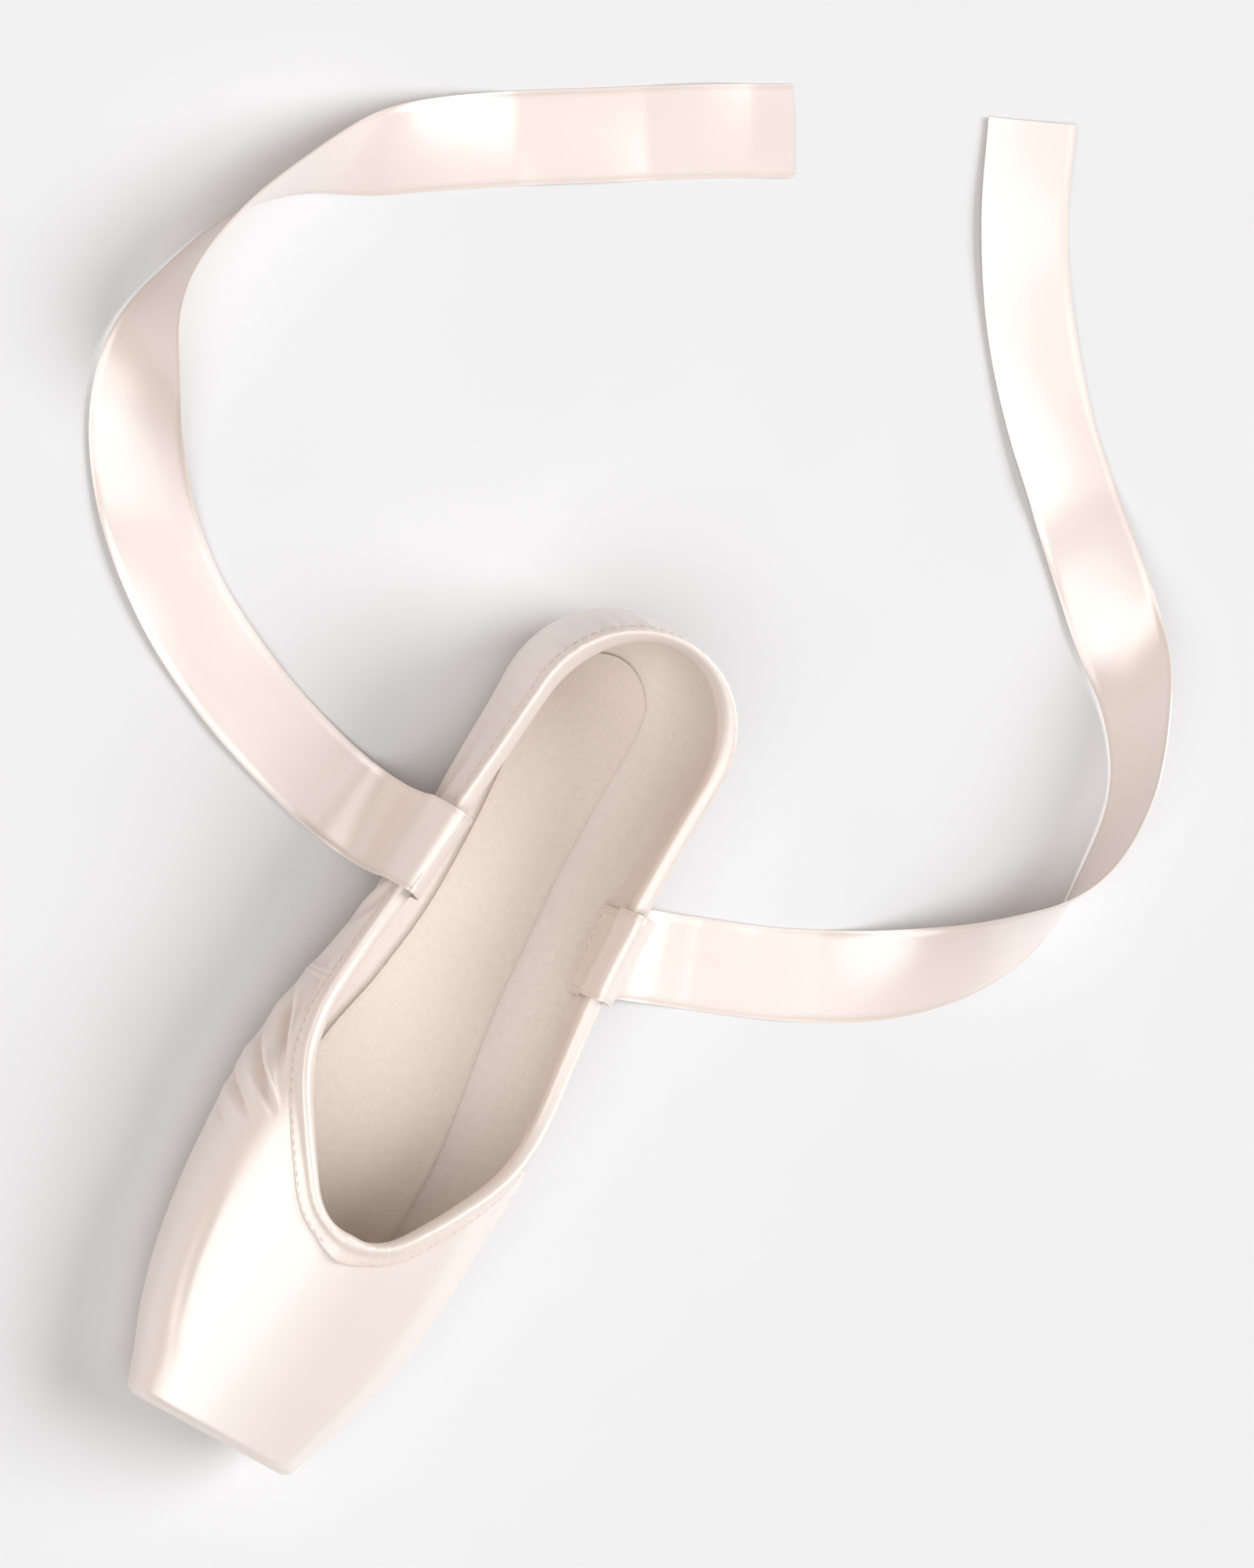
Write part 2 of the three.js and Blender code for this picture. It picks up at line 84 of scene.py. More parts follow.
SECTION_COLUMNS = ("at", "half", "flat", "bottom", "widest", "crown", "fullness")
SECTIONS = np.array((
    (0, 23.6, 11.0, 6.2, 18.5, 32.0, 2.6),
    (10, 26.9, 13.5, 4.8, 18.3, 34.6, 2.5),
    (22, 31.4, 17.0, 3.6, 18.0, 37.6, 2.4),
    (40, 35.8, 21.0, 2.8, 17.5, 41.6, 2.3),
    (62, 38.4, 23.3, 2.8, 17.0, 45.8, 2.2),
    (84, 39.2, 24.0, 2.8, 16.8, 50.0, 2.1),
    (104, 37.4, 21.8, 3.6, 17.5, 57.0, 2.1),
    (124, 33.6, 18.0, 5.8, 19.0, 66.0, 2.1),
    (146, 30.4, 15.5, 7.0, 21.0, 74.0, 2.1),
    (168, 28.8, 14.8, 4.8, 22.0, 77.0, 2.1),
    (190, 28.3, 15.4, 2.8, 22.5, 77.0, 2.1),
    (212, 28.4, 16.0, 2.8, 23.0, 77.0, 2.1),
    (236, 28.4, 16.0, 2.8, 23.5, 77.0, 2.1),
))

# Route of each ribbon's middle line, with the heading and the rise of its width in degrees
ROUTE_LEFT = np.array((
    (26.0, 37, 17, 94.5, 7),
    (26.7, 37, 22.5, 94.5, 7),
    (26.5, 37, 28, 94.5, 7),
    (24.8, 37, 33, 94.5, 7),
    (24.0, 37, 38, 94, 7),
    (28.0, 37.5, 43.8, 93, 7),
    (33.6, 38, 36, 92, 7),
    (34.0, 38.5, 24, 92, 3),
    (36.5, 40, 11, 96, 0),
    (44.5, 43, 2.6, 106, 0),
    (58, 48, 0.8, 112, 0),
    (83, 58, 0.8, 117, 0),
    (108, 72, 2.2, 128, 10),
    (128, 91, 8, 146, 42),
    (139, 115, 12.4, 168, 80),
    (139, 142, 12.5, 191, 98),
    (127, 166, 10.5, 212, 122),
    (109, 185, 4.5, 223, 160),
    (90, 202, 0.8, 227, 180),
    (71, 219, 0.8, 226, 180),
    (54, 238, 0.8, 220, 180),
    (40, 259, 0.8, 213, 180),
    (29, 282, 0.8, 207, 180),
))
ROUTE_RIGHT = np.array((
    (-26.0, 37, 17, 85.5, 7),
    (-26.7, 37, 22.5, 85.5, 7),
    (-26.5, 37, 28, 85.5, 7),
    (-24.8, 37, 33, 85.5, 7),
    (-24.0, 37, 38, 86, 7),
    (-28.0, 37.5, 43.8, 87, 7),
    (-33.6, 38, 36, 88, 7),
    (-34.0, 38, 24, 88, 3),
    (-36.5, 38.5, 11, 87, 0),
    (-44.5, 40, 2.6, 79, 0),
    (-58, 43, 0.8, 74, 0),
    (-83, 51, 0.8, 70, 0),
    (-107, 63, 0.8, 61, 0),
    (-128, 80, 2.2, 48, 10),
    (-144, 102, 7, 30, 36),
    (-151, 127, 12.3, 10, 78),
    (-146, 152, 12.5, -14, 96),
    (-132, 174, 10.5, -34, 122),
    (-113, 191, 4.5, -47, 160),
    (-92, 206, 0.8, -54, 180),
    (-70, 220, 0.8, -57, 180),
    (-48, 234, 0.8, -58, 180),
    (-26, 247, 0.8, -60, 180),
))

# Creases of the satin: side, then point and open end as distance behind the platform and height above
# the widest line round the section, then half width, depth and sideways bow
CREASES = (
    (-1, 80, 22, 97, -3, 1.7, 2.3, 0.8),
    (-1, 75, 17, 84, -4, 1.3, 1.6, 0.5),
    (-1, 89, 20, 112, -2, 2.0, 2.5, 1.0),
    (-1, 102, 18, 122, 2, 2.2, 1.0, 0.8),
    (-1, 70, 11, 75, -2, 1.0, 0.5, 0.0),
    (-1, 10, 15, 62, 18, 1.6, 0.14, 0.0),
    (1, 83, 20, 98, -1, 1.7, 1.5, 0.8),
    (1, 93, 18, 113, -2, 1.9, 1.7, 1.0),
    (1, 76, 15, 85, -3, 1.3, 0.9, 0.5),
    (1, 104, 17, 121, 2, 2.0, 0.8, 0.5),
    (-1, 136, -6, 167, 12, 3.2, 0.9, 2.0),
    (-1, 144, -11, 190, 3, 3.4, 0.8, 2.0),
    (-1, 129, -3, 146, 13, 2.8, 0.7, 1.0),
    (-1, 155, -15, 204, -9, 3.0, 0.6, 1.5),
    (1, 133, -5, 160, 13, 3.0, 0.8, 1.5),
    (1, 141, -10, 184, 5, 3.5, 1.0, 2.0),
    (1, 152, -14, 207, -6, 3.2, 0.7, 1.5),
    (1, 127, -2, 140, 11, 2.6, 0.6, 1.0),
    (-1, 106, 24, 101, -3, 6.0, 0.6, 0.0),
    (1, 107, 23, 102, -3, 6.0, 0.5, 0.0),
)

# Camera fitted to the shoe: lean of the view to the shoe's right, towards its toe, and roll, in degrees
CAMERA_TILT = 17.0
CAMERA_PITCH = 4.5
CAMERA_ROLL = 28.9
CAMERA_DISTANCE = 2.035
CAMERA_LENS = 185.0
TOE_POINT = Vector((0.0, -0.118, 0.018))
TOE_TO_CENTRE = (0.1066, 0.1644)

Length = functools.partial(bpy.props.FloatProperty, unit="LENGTH")
Colour = functools.partial(bpy.props.FloatVectorProperty, subtype="COLOR")


class ShoeSizes(bpy.types.PropertyGroup):
    """Sizes of the soft parts."""

    crease_depth: bpy.props.FloatProperty(
        name="Crease depth", description="Factor on the depth of the satin's creases",
        default=1.0, min=0.0, max=2.0, subtype="FACTOR")
    binding_width: Length(
        name="Binding width", description="Width of the binding outside, below the topline", default=0.0046)
    binding_mitre: Length(
        name="Binding mitre", description="Extra width at the point of the throat", default=0.0018)
    stitch_length: Length(name="Stitch length", description="Length of one stitch", default=0.0017)
    stitch_spacing: Length(
        name="Stitch spacing", description="Distance from stitch to stitch", default=0.0026)
    ribbon_thickness: Length(
        name="Ribbon thickness", description="Thickness of the ribbons", default=0.0004)


class ShoeColours(bpy.types.PropertyGroup):
    """Colours of the materials."""

    # satin is the satin's own colour; satin_shade is a darker copy of it, laid on as painted shade in the
    # upper's creases, and also as random tone, streaks and the ribbons' selvedges
    satin: Colour(name="Satin", description="Lit satin of the upper", default=(0.925, 0.84, 0.785))
    satin_shade: Colour(
        name="Satin shade", description="Satin in creases and streaks", default=(0.71, 0.55, 0.48))
    binding: Colour(name="Binding", description="Satin of the binding", default=(0.90, 0.80, 0.735))
    ribbon: Colour(name="Ribbon", description="Satin of the ribbons", default=(0.92, 0.82, 0.765))
    lining: Colour(name="Lining", description="Cotton inside the shoe", default=(0.90, 0.83, 0.78))
    insole: Colour(name="Insole", description="Cloth of the insole", default=(0.88, 0.79, 0.72))
    leather: Colour(name="Leather", description="Leather of the outsole", default=(0.80, 0.60, 0.42))
    leather_edge: Colour(
        name="Leather edge", description="Cut edge of the outsole", default=(0.42, 0.27, 0.17))
    thread: Colour(name="Thread", description="Sewing thread", default=(0.88, 0.78, 0.72))
    floor: Colour(name="Floor", description="Studio floor", default=(0.81, 0.82, 0.835))


# Shape of the last

def curve_through(at, values):
    """Smooth curve through a table's column that keeps level stretches level and never overshoots."""
    span = np.diff(at)
    slope = np.diff(values) / span
    before, after = slope[:-1], slope[1:]
    turning = before * after <= 0
    wide = 2 * span[1:] + span[:-1]
    narrow = span[1:] + 2 * span[:-1]
    ratio = wide / np.where(turning, 1, before) + narrow / np.where(turning, 1, after)
    inner = np.where(turning, 0, (wide + narrow) / ratio)
    tangent = np.concatenate((slope[:1], inner, slope[-1:]))

    def curve(where):
        where = np.asarray(where, float)
        i = np.clip(np.searchsorted(at, where) - 1, 0, len(span) - 1)
        t = np.clip((where - at[i]) / span[i], 0, 1)
        start = (1 + 2 * t) * (1 - t) ** 2 * values[i] + t * (1 - t) ** 2 * span[i] * tangent[i]
        end = t ** 2 * (3 - 2 * t) * values[i + 1] + t ** 2 * (t - 1) * span[i] * tangent[i + 1]
        return start + end

    return curve


LAST = {
    name: curve_through(SECTIONS[:, 0], SECTIONS[:, column])
    for column, name in enumerate(SECTION_COLUMNS)
    if column
}
TOPLINE = np.array((
    (THROAT, float(LAST["crown"](THROAT))),
    (70, 45.0),
    (78, 44.0),
    (88, 41.9),
    (100, 39.0),
    (112, 37.3),
    (126, 36.6),
    (146, 37.4),
    (168, 40.2),
    (190, 44.4),
    (212, 48.9),
    (LENGTH, 53.5),
))
topline_height = curve_through(TOPLINE[:, 0], TOPLINE[:, 1])


def reach_of(share):
    """Distance behind the platform at a share of the rows, which crowd towards both ends."""
    return LENGTH * (1 - np.cos(np.pi * share)) / 2


def share_of(reach):
    """Share of the rows at a distance behind the platform."""
    return np.arccos(np.clip(1 - 2 * np.asarray(reach, float) / LENGTH, -1, 1)) / np.pi


def fade(share):
    """Falls softly from 1 at a share of 0 to nothing at a share of 1."""
    return np.maximum(0, 1 - share) ** 2


def smooth(value, start, end):
    """Rises smoothly from 0 to 1 as a value goes from start to end."""
    t = np.clip((value - start) / (end - start), 0, 1)
    return t * t * (3 - 2 * t)


def round_end(at, start, end):
    """Quarter of an ellipse that closes from 1 at start to 0 at end."""
    return np.sqrt(1 - np.clip((at - start) / (end - start), 0, 1) ** 2)


def bottom_at(at, grow):
    """Height of the bottom of the last grown outwards, tucked up at the heel."""
    heel = LENGTH + grow
    low = LAST["bottom"](at) - grow
    return low + (LAST["widest"](at) - low) * (1 - round_end(at, heel - HEEL_TUCK, heel))


def section_at(share, grow):
    """Sizes of the section at a share of the rows, on the last grown outwards."""
    toe = np.where(np.asarray(grow) < 0, PLATFORM_WALL - WALL - grow, -np.asarray(grow))
    heel = LENGTH + grow
    plain = reach_of(share)
    at = plain + toe * fade(plain / THROAT) + grow * fade((LENGTH - plain) / HEEL_ROUND)
    edge = PLATFORM_EDGE * (1 - round_end(PLATFORM_EDGE - (at - toe), 0, PLATFORM_EDGE))
    closing = round_end(at, heel - HEEL_ROUND, heel)
    return {
        "at": at,
        "half": (LAST["half"](at) + grow - edge) * closing,
        "flat": (LAST["flat"](at) + np.minimum(grow, 0) - edge) * closing,
        "bottom": bottom_at(at, grow) + edge,
        "widest": LAST["widest"](at),
        "crown": LAST["crown"](at) + grow - edge,
        "fullness": LAST["fullness"](at),
    }


def lean_at(at, height):
    """Lean of the platform and of the heel's collar, as a shift along the shoe."""
    low, high = LAST["bottom"](0), LAST["crown"](0)
    toe = PLATFORM_SETBACK * (height - low) / (high - low) * fade(at / THROAT)
    base = LAST["widest"](LENGTH)
    rise = np.maximum(0, (height - base) / (topline_height(LENGTH) - base))
    return toe - HEEL_LEAN * rise ** 1.5 * fade((LENGTH - at) / HEEL_LEAN_REACH)


def on_last(share, turn, grow=0.0):
    """Point on the last, grown outwards.

    A turn of 0 to 1 is the flat bottom, 1 to 2 the lower curve and 2 to 3 the way up to the crown.
    """
    share, turn = np.broadcast_arrays(np.asarray(share, float), np.asarray(turn, float))
    size = section_at(share, grow)
    lower = np.clip(turn - 1, 0, 1) * np.pi / 2
    upper = np.maximum(turn - 2, 0) * np.pi / 2
    power = size["fullness"]
    reach = (np.abs(np.cos(upper)) ** power + np.sin(upper) ** power) ** (-1 / power)
    low_x = np.where(
        turn > 1,
        size["flat"] + (size["half"] - size["flat"]) * np.sin(lower),
        size["flat"] * np.clip(turn, 0, 1),
    )
    low_z = size["widest"] - (size["widest"] - size["bottom"]) * np.cos(lower)
    x = np.where(turn > 2, size["half"] * reach * np.cos(upper), low_x)
    rise = (size["crown"] - size["widest"]) * reach * np.sin(upper)
    z = np.where(turn > 2, size["widest"] + rise, low_z)
    return np.stack((x, size["at"] - LENGTH / 2 + lean_at(size["at"], z), z), -1)


def topline_turn(share):
    """How far round the section the topline lies."""
    size = section_at(share, 0.0)
    rise = (topline_height(size["at"]) - size["widest"]) / (size["crown"] - size["widest"])
    height = np.clip(rise, 0, 1)
    power = size["fullness"]
    return 2 + np.arctan2(height, (1 - height ** power) ** (1 / power)) / (np.pi / 2)


def topline_share(way):
    """Share of the rows at a way along the topline, 0 at the throat, 1 at the heel."""
    throat = share_of(THROAT)
    return throat + (1 - throat) * way ** 2 * (2 - way)


def unit(vectors):
    """Vectors of the same directions with a length of 1."""
    return vectors / np.linalg.norm(vectors, axis=-1, keepdims=True)


NORMAL_SHARES = (0.012, 0.985)


def outward(share, turn):
    """Normal of the last's surface, read a little inside its two ends."""
    step = 1e-3
    share = np.clip(share, *NORMAL_SHARES)
    along = on_last(share + step, turn) - on_last(share - step, turn)
    around = on_last(share, turn + step) - on_last(share, turn - step)
    return unit(np.cross(along, around))


def girth(share, turn, steps=14):
    """Length round the section from the widest line, upwards."""
    share, turn = np.broadcast_arrays(np.asarray(share, float), np.asarray(turn, float))
    total = np.zeros(turn.shape)
    last = on_last(share, np.full(turn.shape, 2.0))
    for i in range(1, steps + 1):
        here = on_last(share, 2 + (turn - 2) * i / steps)
        total += np.linalg.norm(here - last, axis=-1)
        last = here
    return np.where(turn < 2, -total, total)


# Relief of the satin

# A crease's steep and soft flank in half widths, and the ridges beside it: place, half width and height
CREASE_FLANKS = (0.75, 1.4)
CREASE_RIDGES = ((1.7, 0.9, 0.55), (-2.8, 1.4, 0.35))
# Shares of a crease's length over which it opens and closes
CREASE_OPENS = (-0.1, 0.45)
CREASE_CLOSES = (0.65, 1.1)
# Distances below the topline between which creases come out from under the binding
CREASE_START = (4.8, 10)
# Turns round the section between which folds rise from the sole, and the calm strip beside the back seam
FOLDS_RISE = (0.6, 1.3)
CALM_STRIP = 12.0
WANDER_DEPTH = 0.16
WANDER_QUARTERS = (95, 130)
# Gathers: depth, distances below the topline where they start, fall further down, and stretch of the
# quarters over which they come in
GATHER_DEPTH = 0.42
GATHER_BAND = (1.5, 4.5)
GATHER_FULLEST = 4.0
GATHER_FALL = 8.0
GATHER_QUARTERS = (150, 215)
GATHERS_RISE = (1.3, 1.9)
PLEAT_DEPTH = 1.3
PLEAT_CENTRE = 31.0
PLEAT_COUNT = 8.5
PLEAT_REACH = (15, 28)
PLEATS_END = (1.3, 1.8)
PUCKER_DEPTH = 0.22
PUCKER_TURN = 1.12
PUCKER_SPREAD = 0.28
WAIST_START = (88, 112)
WAIST_END = (180, 205)
# Stands for the distance below the topline in front of the throat
FAR_BELOW = 99.0


def bell(value, centre, spread):
    """Height that is 1 at a centre and falls off smoothly on both sides."""
    return np.exp(-((value - centre) / spread) ** 2)


def crease_relief(side, at, height):
    """Wedge folds that open from a point, with a steep and a soft flank, and a swelling on either side."""
    total = np.zeros(at.shape)
    for where, at0, up0, at1, up1, width, depth, bow in CREASES:
        if where != side:
            continue
        run = np.array((at1 - at0, up1 - up0), float)
        length = np.hypot(*run)
        run /= length
        along = ((at - at0) * run[0] + (height - up0) * run[1]) / length
        across = (height - up0) * run[0] - (at - at0) * run[1]
        across = across - bow * 4 * along * (1 - along)
        ends = smooth(along, *CREASE_OPENS) * (1 - smooth(along, *CREASE_CLOSES))
        here = width * (0.5 + 0.7 * np.clip(along, 0, 1))
        trough = bell(across, 0, here * np.where(across > 0, *CREASE_FLANKS))
        ridges = sum(
            rise * bell(across, place * here, spread * here)
            for place, spread, rise in CREASE_RIDGES)
        total += depth * ends * (ridges - trough)
    return total


def way_round_heel(at):
    """Length along the shoe's side and on round the back of the heel."""
    bend = np.clip((at - LENGTH + HEEL_ROUND) / HEEL_ROUND, 0, 1)
    return np.minimum(at, LENGTH - HEEL_ROUND) + HEEL_ROUND * np.arcsin(bend)


def gather_relief(at, below, round_heel):
    """Short gathers that the drawstring makes below the binding, strongest round the heel."""
    fine = np.sin(round_heel * 1.15 + 0.9 * np.sin(round_heel * 0.31))
    broad = 0.5 * np.sin(round_heel * 0.63 + 1.0)
    reach = smooth(below, *GATHER_BAND) * np.exp(-np.maximum(below - GATHER_FULLEST, 0) / GATHER_FALL)
    beside_seam = smooth(np.abs(round_heel), 2, 7)
    return GATHER_DEPTH * (fine + broad) * reach * smooth(at, *GATHER_QUARTERS) * beside_seam


def pleat_relief(at, across, turn):
    """Pleats fanned round the front of the outsole, run out before the platform."""
    ahead = PLEAT_CENTRE - at
    spread = np.hypot(across, ahead)
    angle = np.arctan2(across, ahead)
    fold = np.abs(np.sin(angle * PLEAT_COUNT)) ** 0.5 - 0.6
    reach = (1 - smooth(spread, *PLEAT_REACH)) * (1 - smooth(turn, *PLEATS_END))
    return PLEAT_DEPTH * fold * reach * smooth(ahead, -4, 6)


def pucker_relief(at, turn):
    """Small puckers where the satin is pulled in along the outsole's waist."""
    wave = np.sin(at * 0.82 + 1.4 * np.sin(at * 0.13))
    waist = smooth(at, *WAIST_START) * (1 - smooth(at, *WAIST_END))
    return PUCKER_DEPTH * wave * bell(turn, PUCKER_TURN, PUCKER_SPREAD) * waist


def relief(side, share, turn):
    """Height of the satin over the last, in creases, gathers and pleats."""
    share, turn = np.broadcast_arrays(np.asarray(share, float), np.asarray(turn, float))
    at = section_at(share, 0.0)["at"]
    up = girth(share, turn)
    behind = share > share_of(THROAT)
    below = np.where(behind, girth(share, topline_turn(share)) - up, FAR_BELOW)
    round_heel = side * (way_round_heel(LENGTH) - way_round_heel(at))
    beside_seam = smooth(np.abs(round_heel), 0, CALM_STRIP)
    across = side * on_last(share, turn)[..., 0]
    depth = bpy.context.scene.shoe_sizes.crease_depth
    wander = np.sin(at * 0.11 + side) * np.sin(up * 0.17 + at * 0.05) * smooth(at, *WANDER_QUARTERS)
    folds = depth * crease_relief(side, at, up) + WANDER_DEPTH * wander
    folds = folds * smooth(below, *CREASE_START) * beside_seam * smooth(turn, *FOLDS_RISE)
    total = folds + pleat_relief(at, across, turn) + pucker_relief(at, turn)
    return total + gather_relief(at, below, round_heel) * smooth(turn, *GATHERS_RISE)


def skin(side, share, turn, lift=0.0):
    """Points on the satin, a lift above it, and the normals there."""
    normal = outward(share, turn)
    height = relief(side, share, turn) + lift
    points = on_last(share, turn) + normal * np.asarray(height)[..., None]
    mirror = np.array((side, 1, 1))
    return points * mirror, normal * mirror


# Modelling

def deselect():
    """Leaves edit mode and deselects everything."""
    if bpy.context.object and bpy.context.object.mode != "OBJECT":
        bpy.ops.object.mode_set(mode="OBJECT")
    bpy.ops.object.select_all(action="DESELECT")


def pick(*pieces):
    """Selects some pieces alone and makes the first one active."""
    deselect()
    for piece in pieces:
        piece.select_set(True)
    bpy.context.view_layer.objects.active = pieces[0]


def read_points(data, field):
    """Rows of points from a mesh's vertices or from a vector attribute."""
    flat = np.empty(len(data) * 3)
    data.foreach_get(field, flat)
    return flat.reshape(-1, 3)


def grid_piece(name, points, cloth=None, values=None):
    """A grid primitive laid over rows of points in millimetres.

    cloth gives each point's place on the flat cloth, and values named numbers kept as attributes.
    """
    rows, columns = points.shape[0] - 1, points.shape[1] - 1
    deselect()
    bpy.ops.mesh.primitive_grid_add(x_subdivisions=columns, y_subdivisions=rows, size=1.0)
    piece = bpy.context.object
    piece.name = piece.data.name = name
    mesh = piece.data
    flat = read_points(mesh.vertices, "co")
    column, row = np.rint((flat[:, :2] + 0.5) * (columns, rows)).astype(int).T
    mesh.vertices.foreach_set("co", points[row, column].ravel() * MM)
    if cloth is not None:
        corner = np.empty(len(mesh.loops), int)
        mesh.loops.foreach_get("vertex_index", corner)
        flat_cloth = cloth[row, column][corner] * MM
        mesh.uv_layers.active.data.foreach_set("uv", flat_cloth.ravel())
    for label, numbers in (values or {}).items():
        kind, field = ("FLOAT_VECTOR", "vector") if numbers.ndim == 3 else ("FLOAT", "value")
        attribute = mesh.attributes.new(label, kind, "POINT")
        attribute.data.foreach_set(field, numbers[row, column].ravel())
    mesh.update()
    return piece


def join_pieces(pieces, name):
    """Joins pieces into one with a name."""
    pick(*pieces)
    if len(pieces) > 1:
        bpy.ops.object.join()
    piece = bpy.context.object
    piece.name = piece.data.name = name
    return piece


def mend(piece, *steps):
    """Runs mesh operators, each with its settings, on a whole piece, and turns its faces outwards."""
    pick(piece)
    bpy.ops.object.mode_set(mode="EDIT")
    for operator, settings in (*steps, (bpy.ops.mesh.normals_make_consistent, {"inside": False})):
        bpy.ops.mesh.select_all(action="SELECT")
        operator(**settings)
    bpy.ops.object.mode_set(mode="OBJECT")


def sew(pieces, name, merge=0.02):
    """Joins pieces into one and closes the seams between them, where points are nearer than merge."""
    piece = join_pieces(pieces, name)
    mend(
        piece, (bpy.ops.mesh.remove_doubles, {"threshold": merge * MM}),
        (bpy.ops.mesh.dissolve_degenerate, {"threshold": 1e-6}))
    return piece


def thicken(piece, thickness, offset, **settings):
    """Gives a sheet a thickness in millimetres, behind it for an offset of -1, to both sides for 0."""
    pick(piece)
    modifier = piece.modifiers.new("Solidify", "SOLIDIFY")
    modifier.thickness = thickness * MM
    modifier.offset = offset
    modifier.use_rim = True
    for key, value in settings.items():
        setattr(modifier, key, value)
    bpy.ops.object.modifier_apply(modifier=modifier.name)


def finish_piece(piece, slot, *nodes, material=None, angle=60):
    """Gives a piece its material, smooths it and puts it on the shoe in place of its solids."""
    if material:
        piece.data.materials.append(material)
    pick(piece)
    bpy.ops.object.shade_smooth_by_angle(angle=math.radians(angle))
    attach(piece, "root")
    if nodes:
        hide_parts(*nodes)


def lengths_along(points):
    """Length of a line of points up to each of them."""
    return np.concatenate(([0], np.cumsum(np.linalg.norm(np.diff(points, axis=0), axis=1))))


def even_places(points, spacing):
    """Places along a line of points, evenly spaced, as fractional indices."""
    run = lengths_along(points)
    count = max(2, int(run[-1] / spacing))
    return np.interp((np.arange(count) + 0.5) * run[-1] / count, run, np.arange(len(points)))


def stitch_matrix(points, normals, place, radius, length):
    """Matrix that makes a ball of radius 1 a stitch, at a place along a line of points."""
    low = min(int(place), len(points) - 2)
    t = place - low
    run = unit(points[low + 1] - points[low])
    up = normals[low] * (1 - t) + normals[low + 1] * t
    up = unit(up - run * np.dot(up, run))
    side = np.cross(up, run)
    turned = np.column_stack((side * radius, up * radius, run * length / 2)) * MM
    middle = points[low] * (1 - t) + points[low + 1] * t
    return Matrix.Translation(Vector(middle * MM)) @ Matrix(turned).to_4x4()


def stitch_rows(name, slot, lines, radius, length=None, spacing=None):
    """One piece of thread: rows of stitches along lines of (points, normals), in millimetres."""
    sizes = bpy.context.scene.shoe_sizes
    length = length or sizes.stitch_length / MM
    spacing = spacing or sizes.stitch_spacing / MM
    deselect()
    bpy.ops.mesh.primitive_uv_sphere_add(segments=8, ring_count=6, radius=1.0)
    pattern = bpy.context.object
    stitches = []
    for points, normals in lines:
        for place in even_places(points, spacing):
            stitch = pattern.copy()
            stitch.data = pattern.data.copy()
            stitch.matrix_world = stitch_matrix(points, normals, place, radius, length)
            bpy.context.collection.objects.link(stitch)
            stitches.append(stitch)
    bpy.data.objects.remove(pattern)
    piece = join_pieces(stitches, name)
    bpy.ops.object.transform_apply(location=True, rotation=True, scale=True)
    mend(piece)
    colour = bpy.context.scene.shoe_colours.thread
    finish_piece(piece, slot, material=material_for("thread", thread_material, colour))


# Materials

def add_node(tree, kind, inputs=None, **settings):
    """A node with its settings, its inputs linked to sockets or set to plain values."""
    node = tree.nodes.new(kind)
    for key, value in settings.items():
        setattr(node, key, value)
    for key, value in (inputs or {}).items():
        if isinstance(value, bpy.types.NodeSocket):
            tree.links.new(value, node.inputs[key])
        else:
            node.inputs[key].default_value = value
    return node


def maths(tree, operation, *values):
    """Result of one sum on values or sockets."""
    return add_node(tree, "ShaderNodeMath", dict(enumerate(values)), operation=operation).outputs[0]


def add_part(tree, value, part, rest):
    """A part of a value, added to the rest."""
    return maths(tree, "MULTIPLY_ADD", value, part, rest)


def noise(tree, vector, scale, detail):
    """Cloudy noise with its own scale along each axis."""
    stretched = add_node(tree, "ShaderNodeVectorMath", {0: vector, 1: scale}, operation="MULTIPLY")
    inputs = {"Vector": stretched.outputs[0], "Scale": 1.0, "Detail": detail}
    return add_node(tree, "ShaderNodeTexNoise", inputs).outputs["Fac"]


def bands(tree, vector, scale, direction, **inputs):
    """Wavy bands across one direction."""
    inputs = {"Vector": vector, "Scale": scale, **inputs}
    return add_node(tree, "ShaderNodeTexWave", inputs, bands_direction=direction).outputs["Fac"]


def blend_colours(tree, factor, *colours):
    """Blend from one colour to another, each of them a socket or three numbers."""
    first, second = (c if isinstance(c, bpy.types.NodeSocket) else (*c, 1.0) for c in colours)
    inputs = {0: factor, 6: first, 7: second}
    return add_node(tree, "ShaderNodeMix", inputs, data_type="RGBA", clamp_factor=True).outputs[2]


def map_range(tree, value, low, high, to_low=0.0, to_high=1.0, kind="LINEAR"):
    """A value moved from one range to another and kept inside it."""
    inputs = {0: value, 1: low, 2: high, 3: to_low, 4: to_high}
    return add_node(tree, "ShaderNodeMapRange", inputs, interpolation_type=kind, clamp=True).outputs[0]


def attribute(tree, name):
    """Numbers that a piece's mesh carries."""
    return add_node(tree, "ShaderNodeAttribute", attribute_name=name).outputs["Fac"]


def toned(colour, factor):
    """A darker or paler tone of a colour."""
    return tuple(min(1.0, factor * part) for part in colour)


def new_group(name, inputs, outputs):
    """An empty node group with the sockets that come in and those that go out."""
    tree = bpy.data.node_groups.new(name, "ShaderNodeTree")
    for label, kind in inputs.items():
        tree.interface.new_socket(label, in_out="INPUT", socket_type=kind)
    for label in outputs:
        tree.interface.new_socket(label, in_out="OUTPUT", socket_type="NodeSocketFloat")
    entry = tree.nodes.new("NodeGroupInput")
    leave = tree.nodes.new("NodeGroupOutput")
    return tree, entry.outputs, leave.inputs


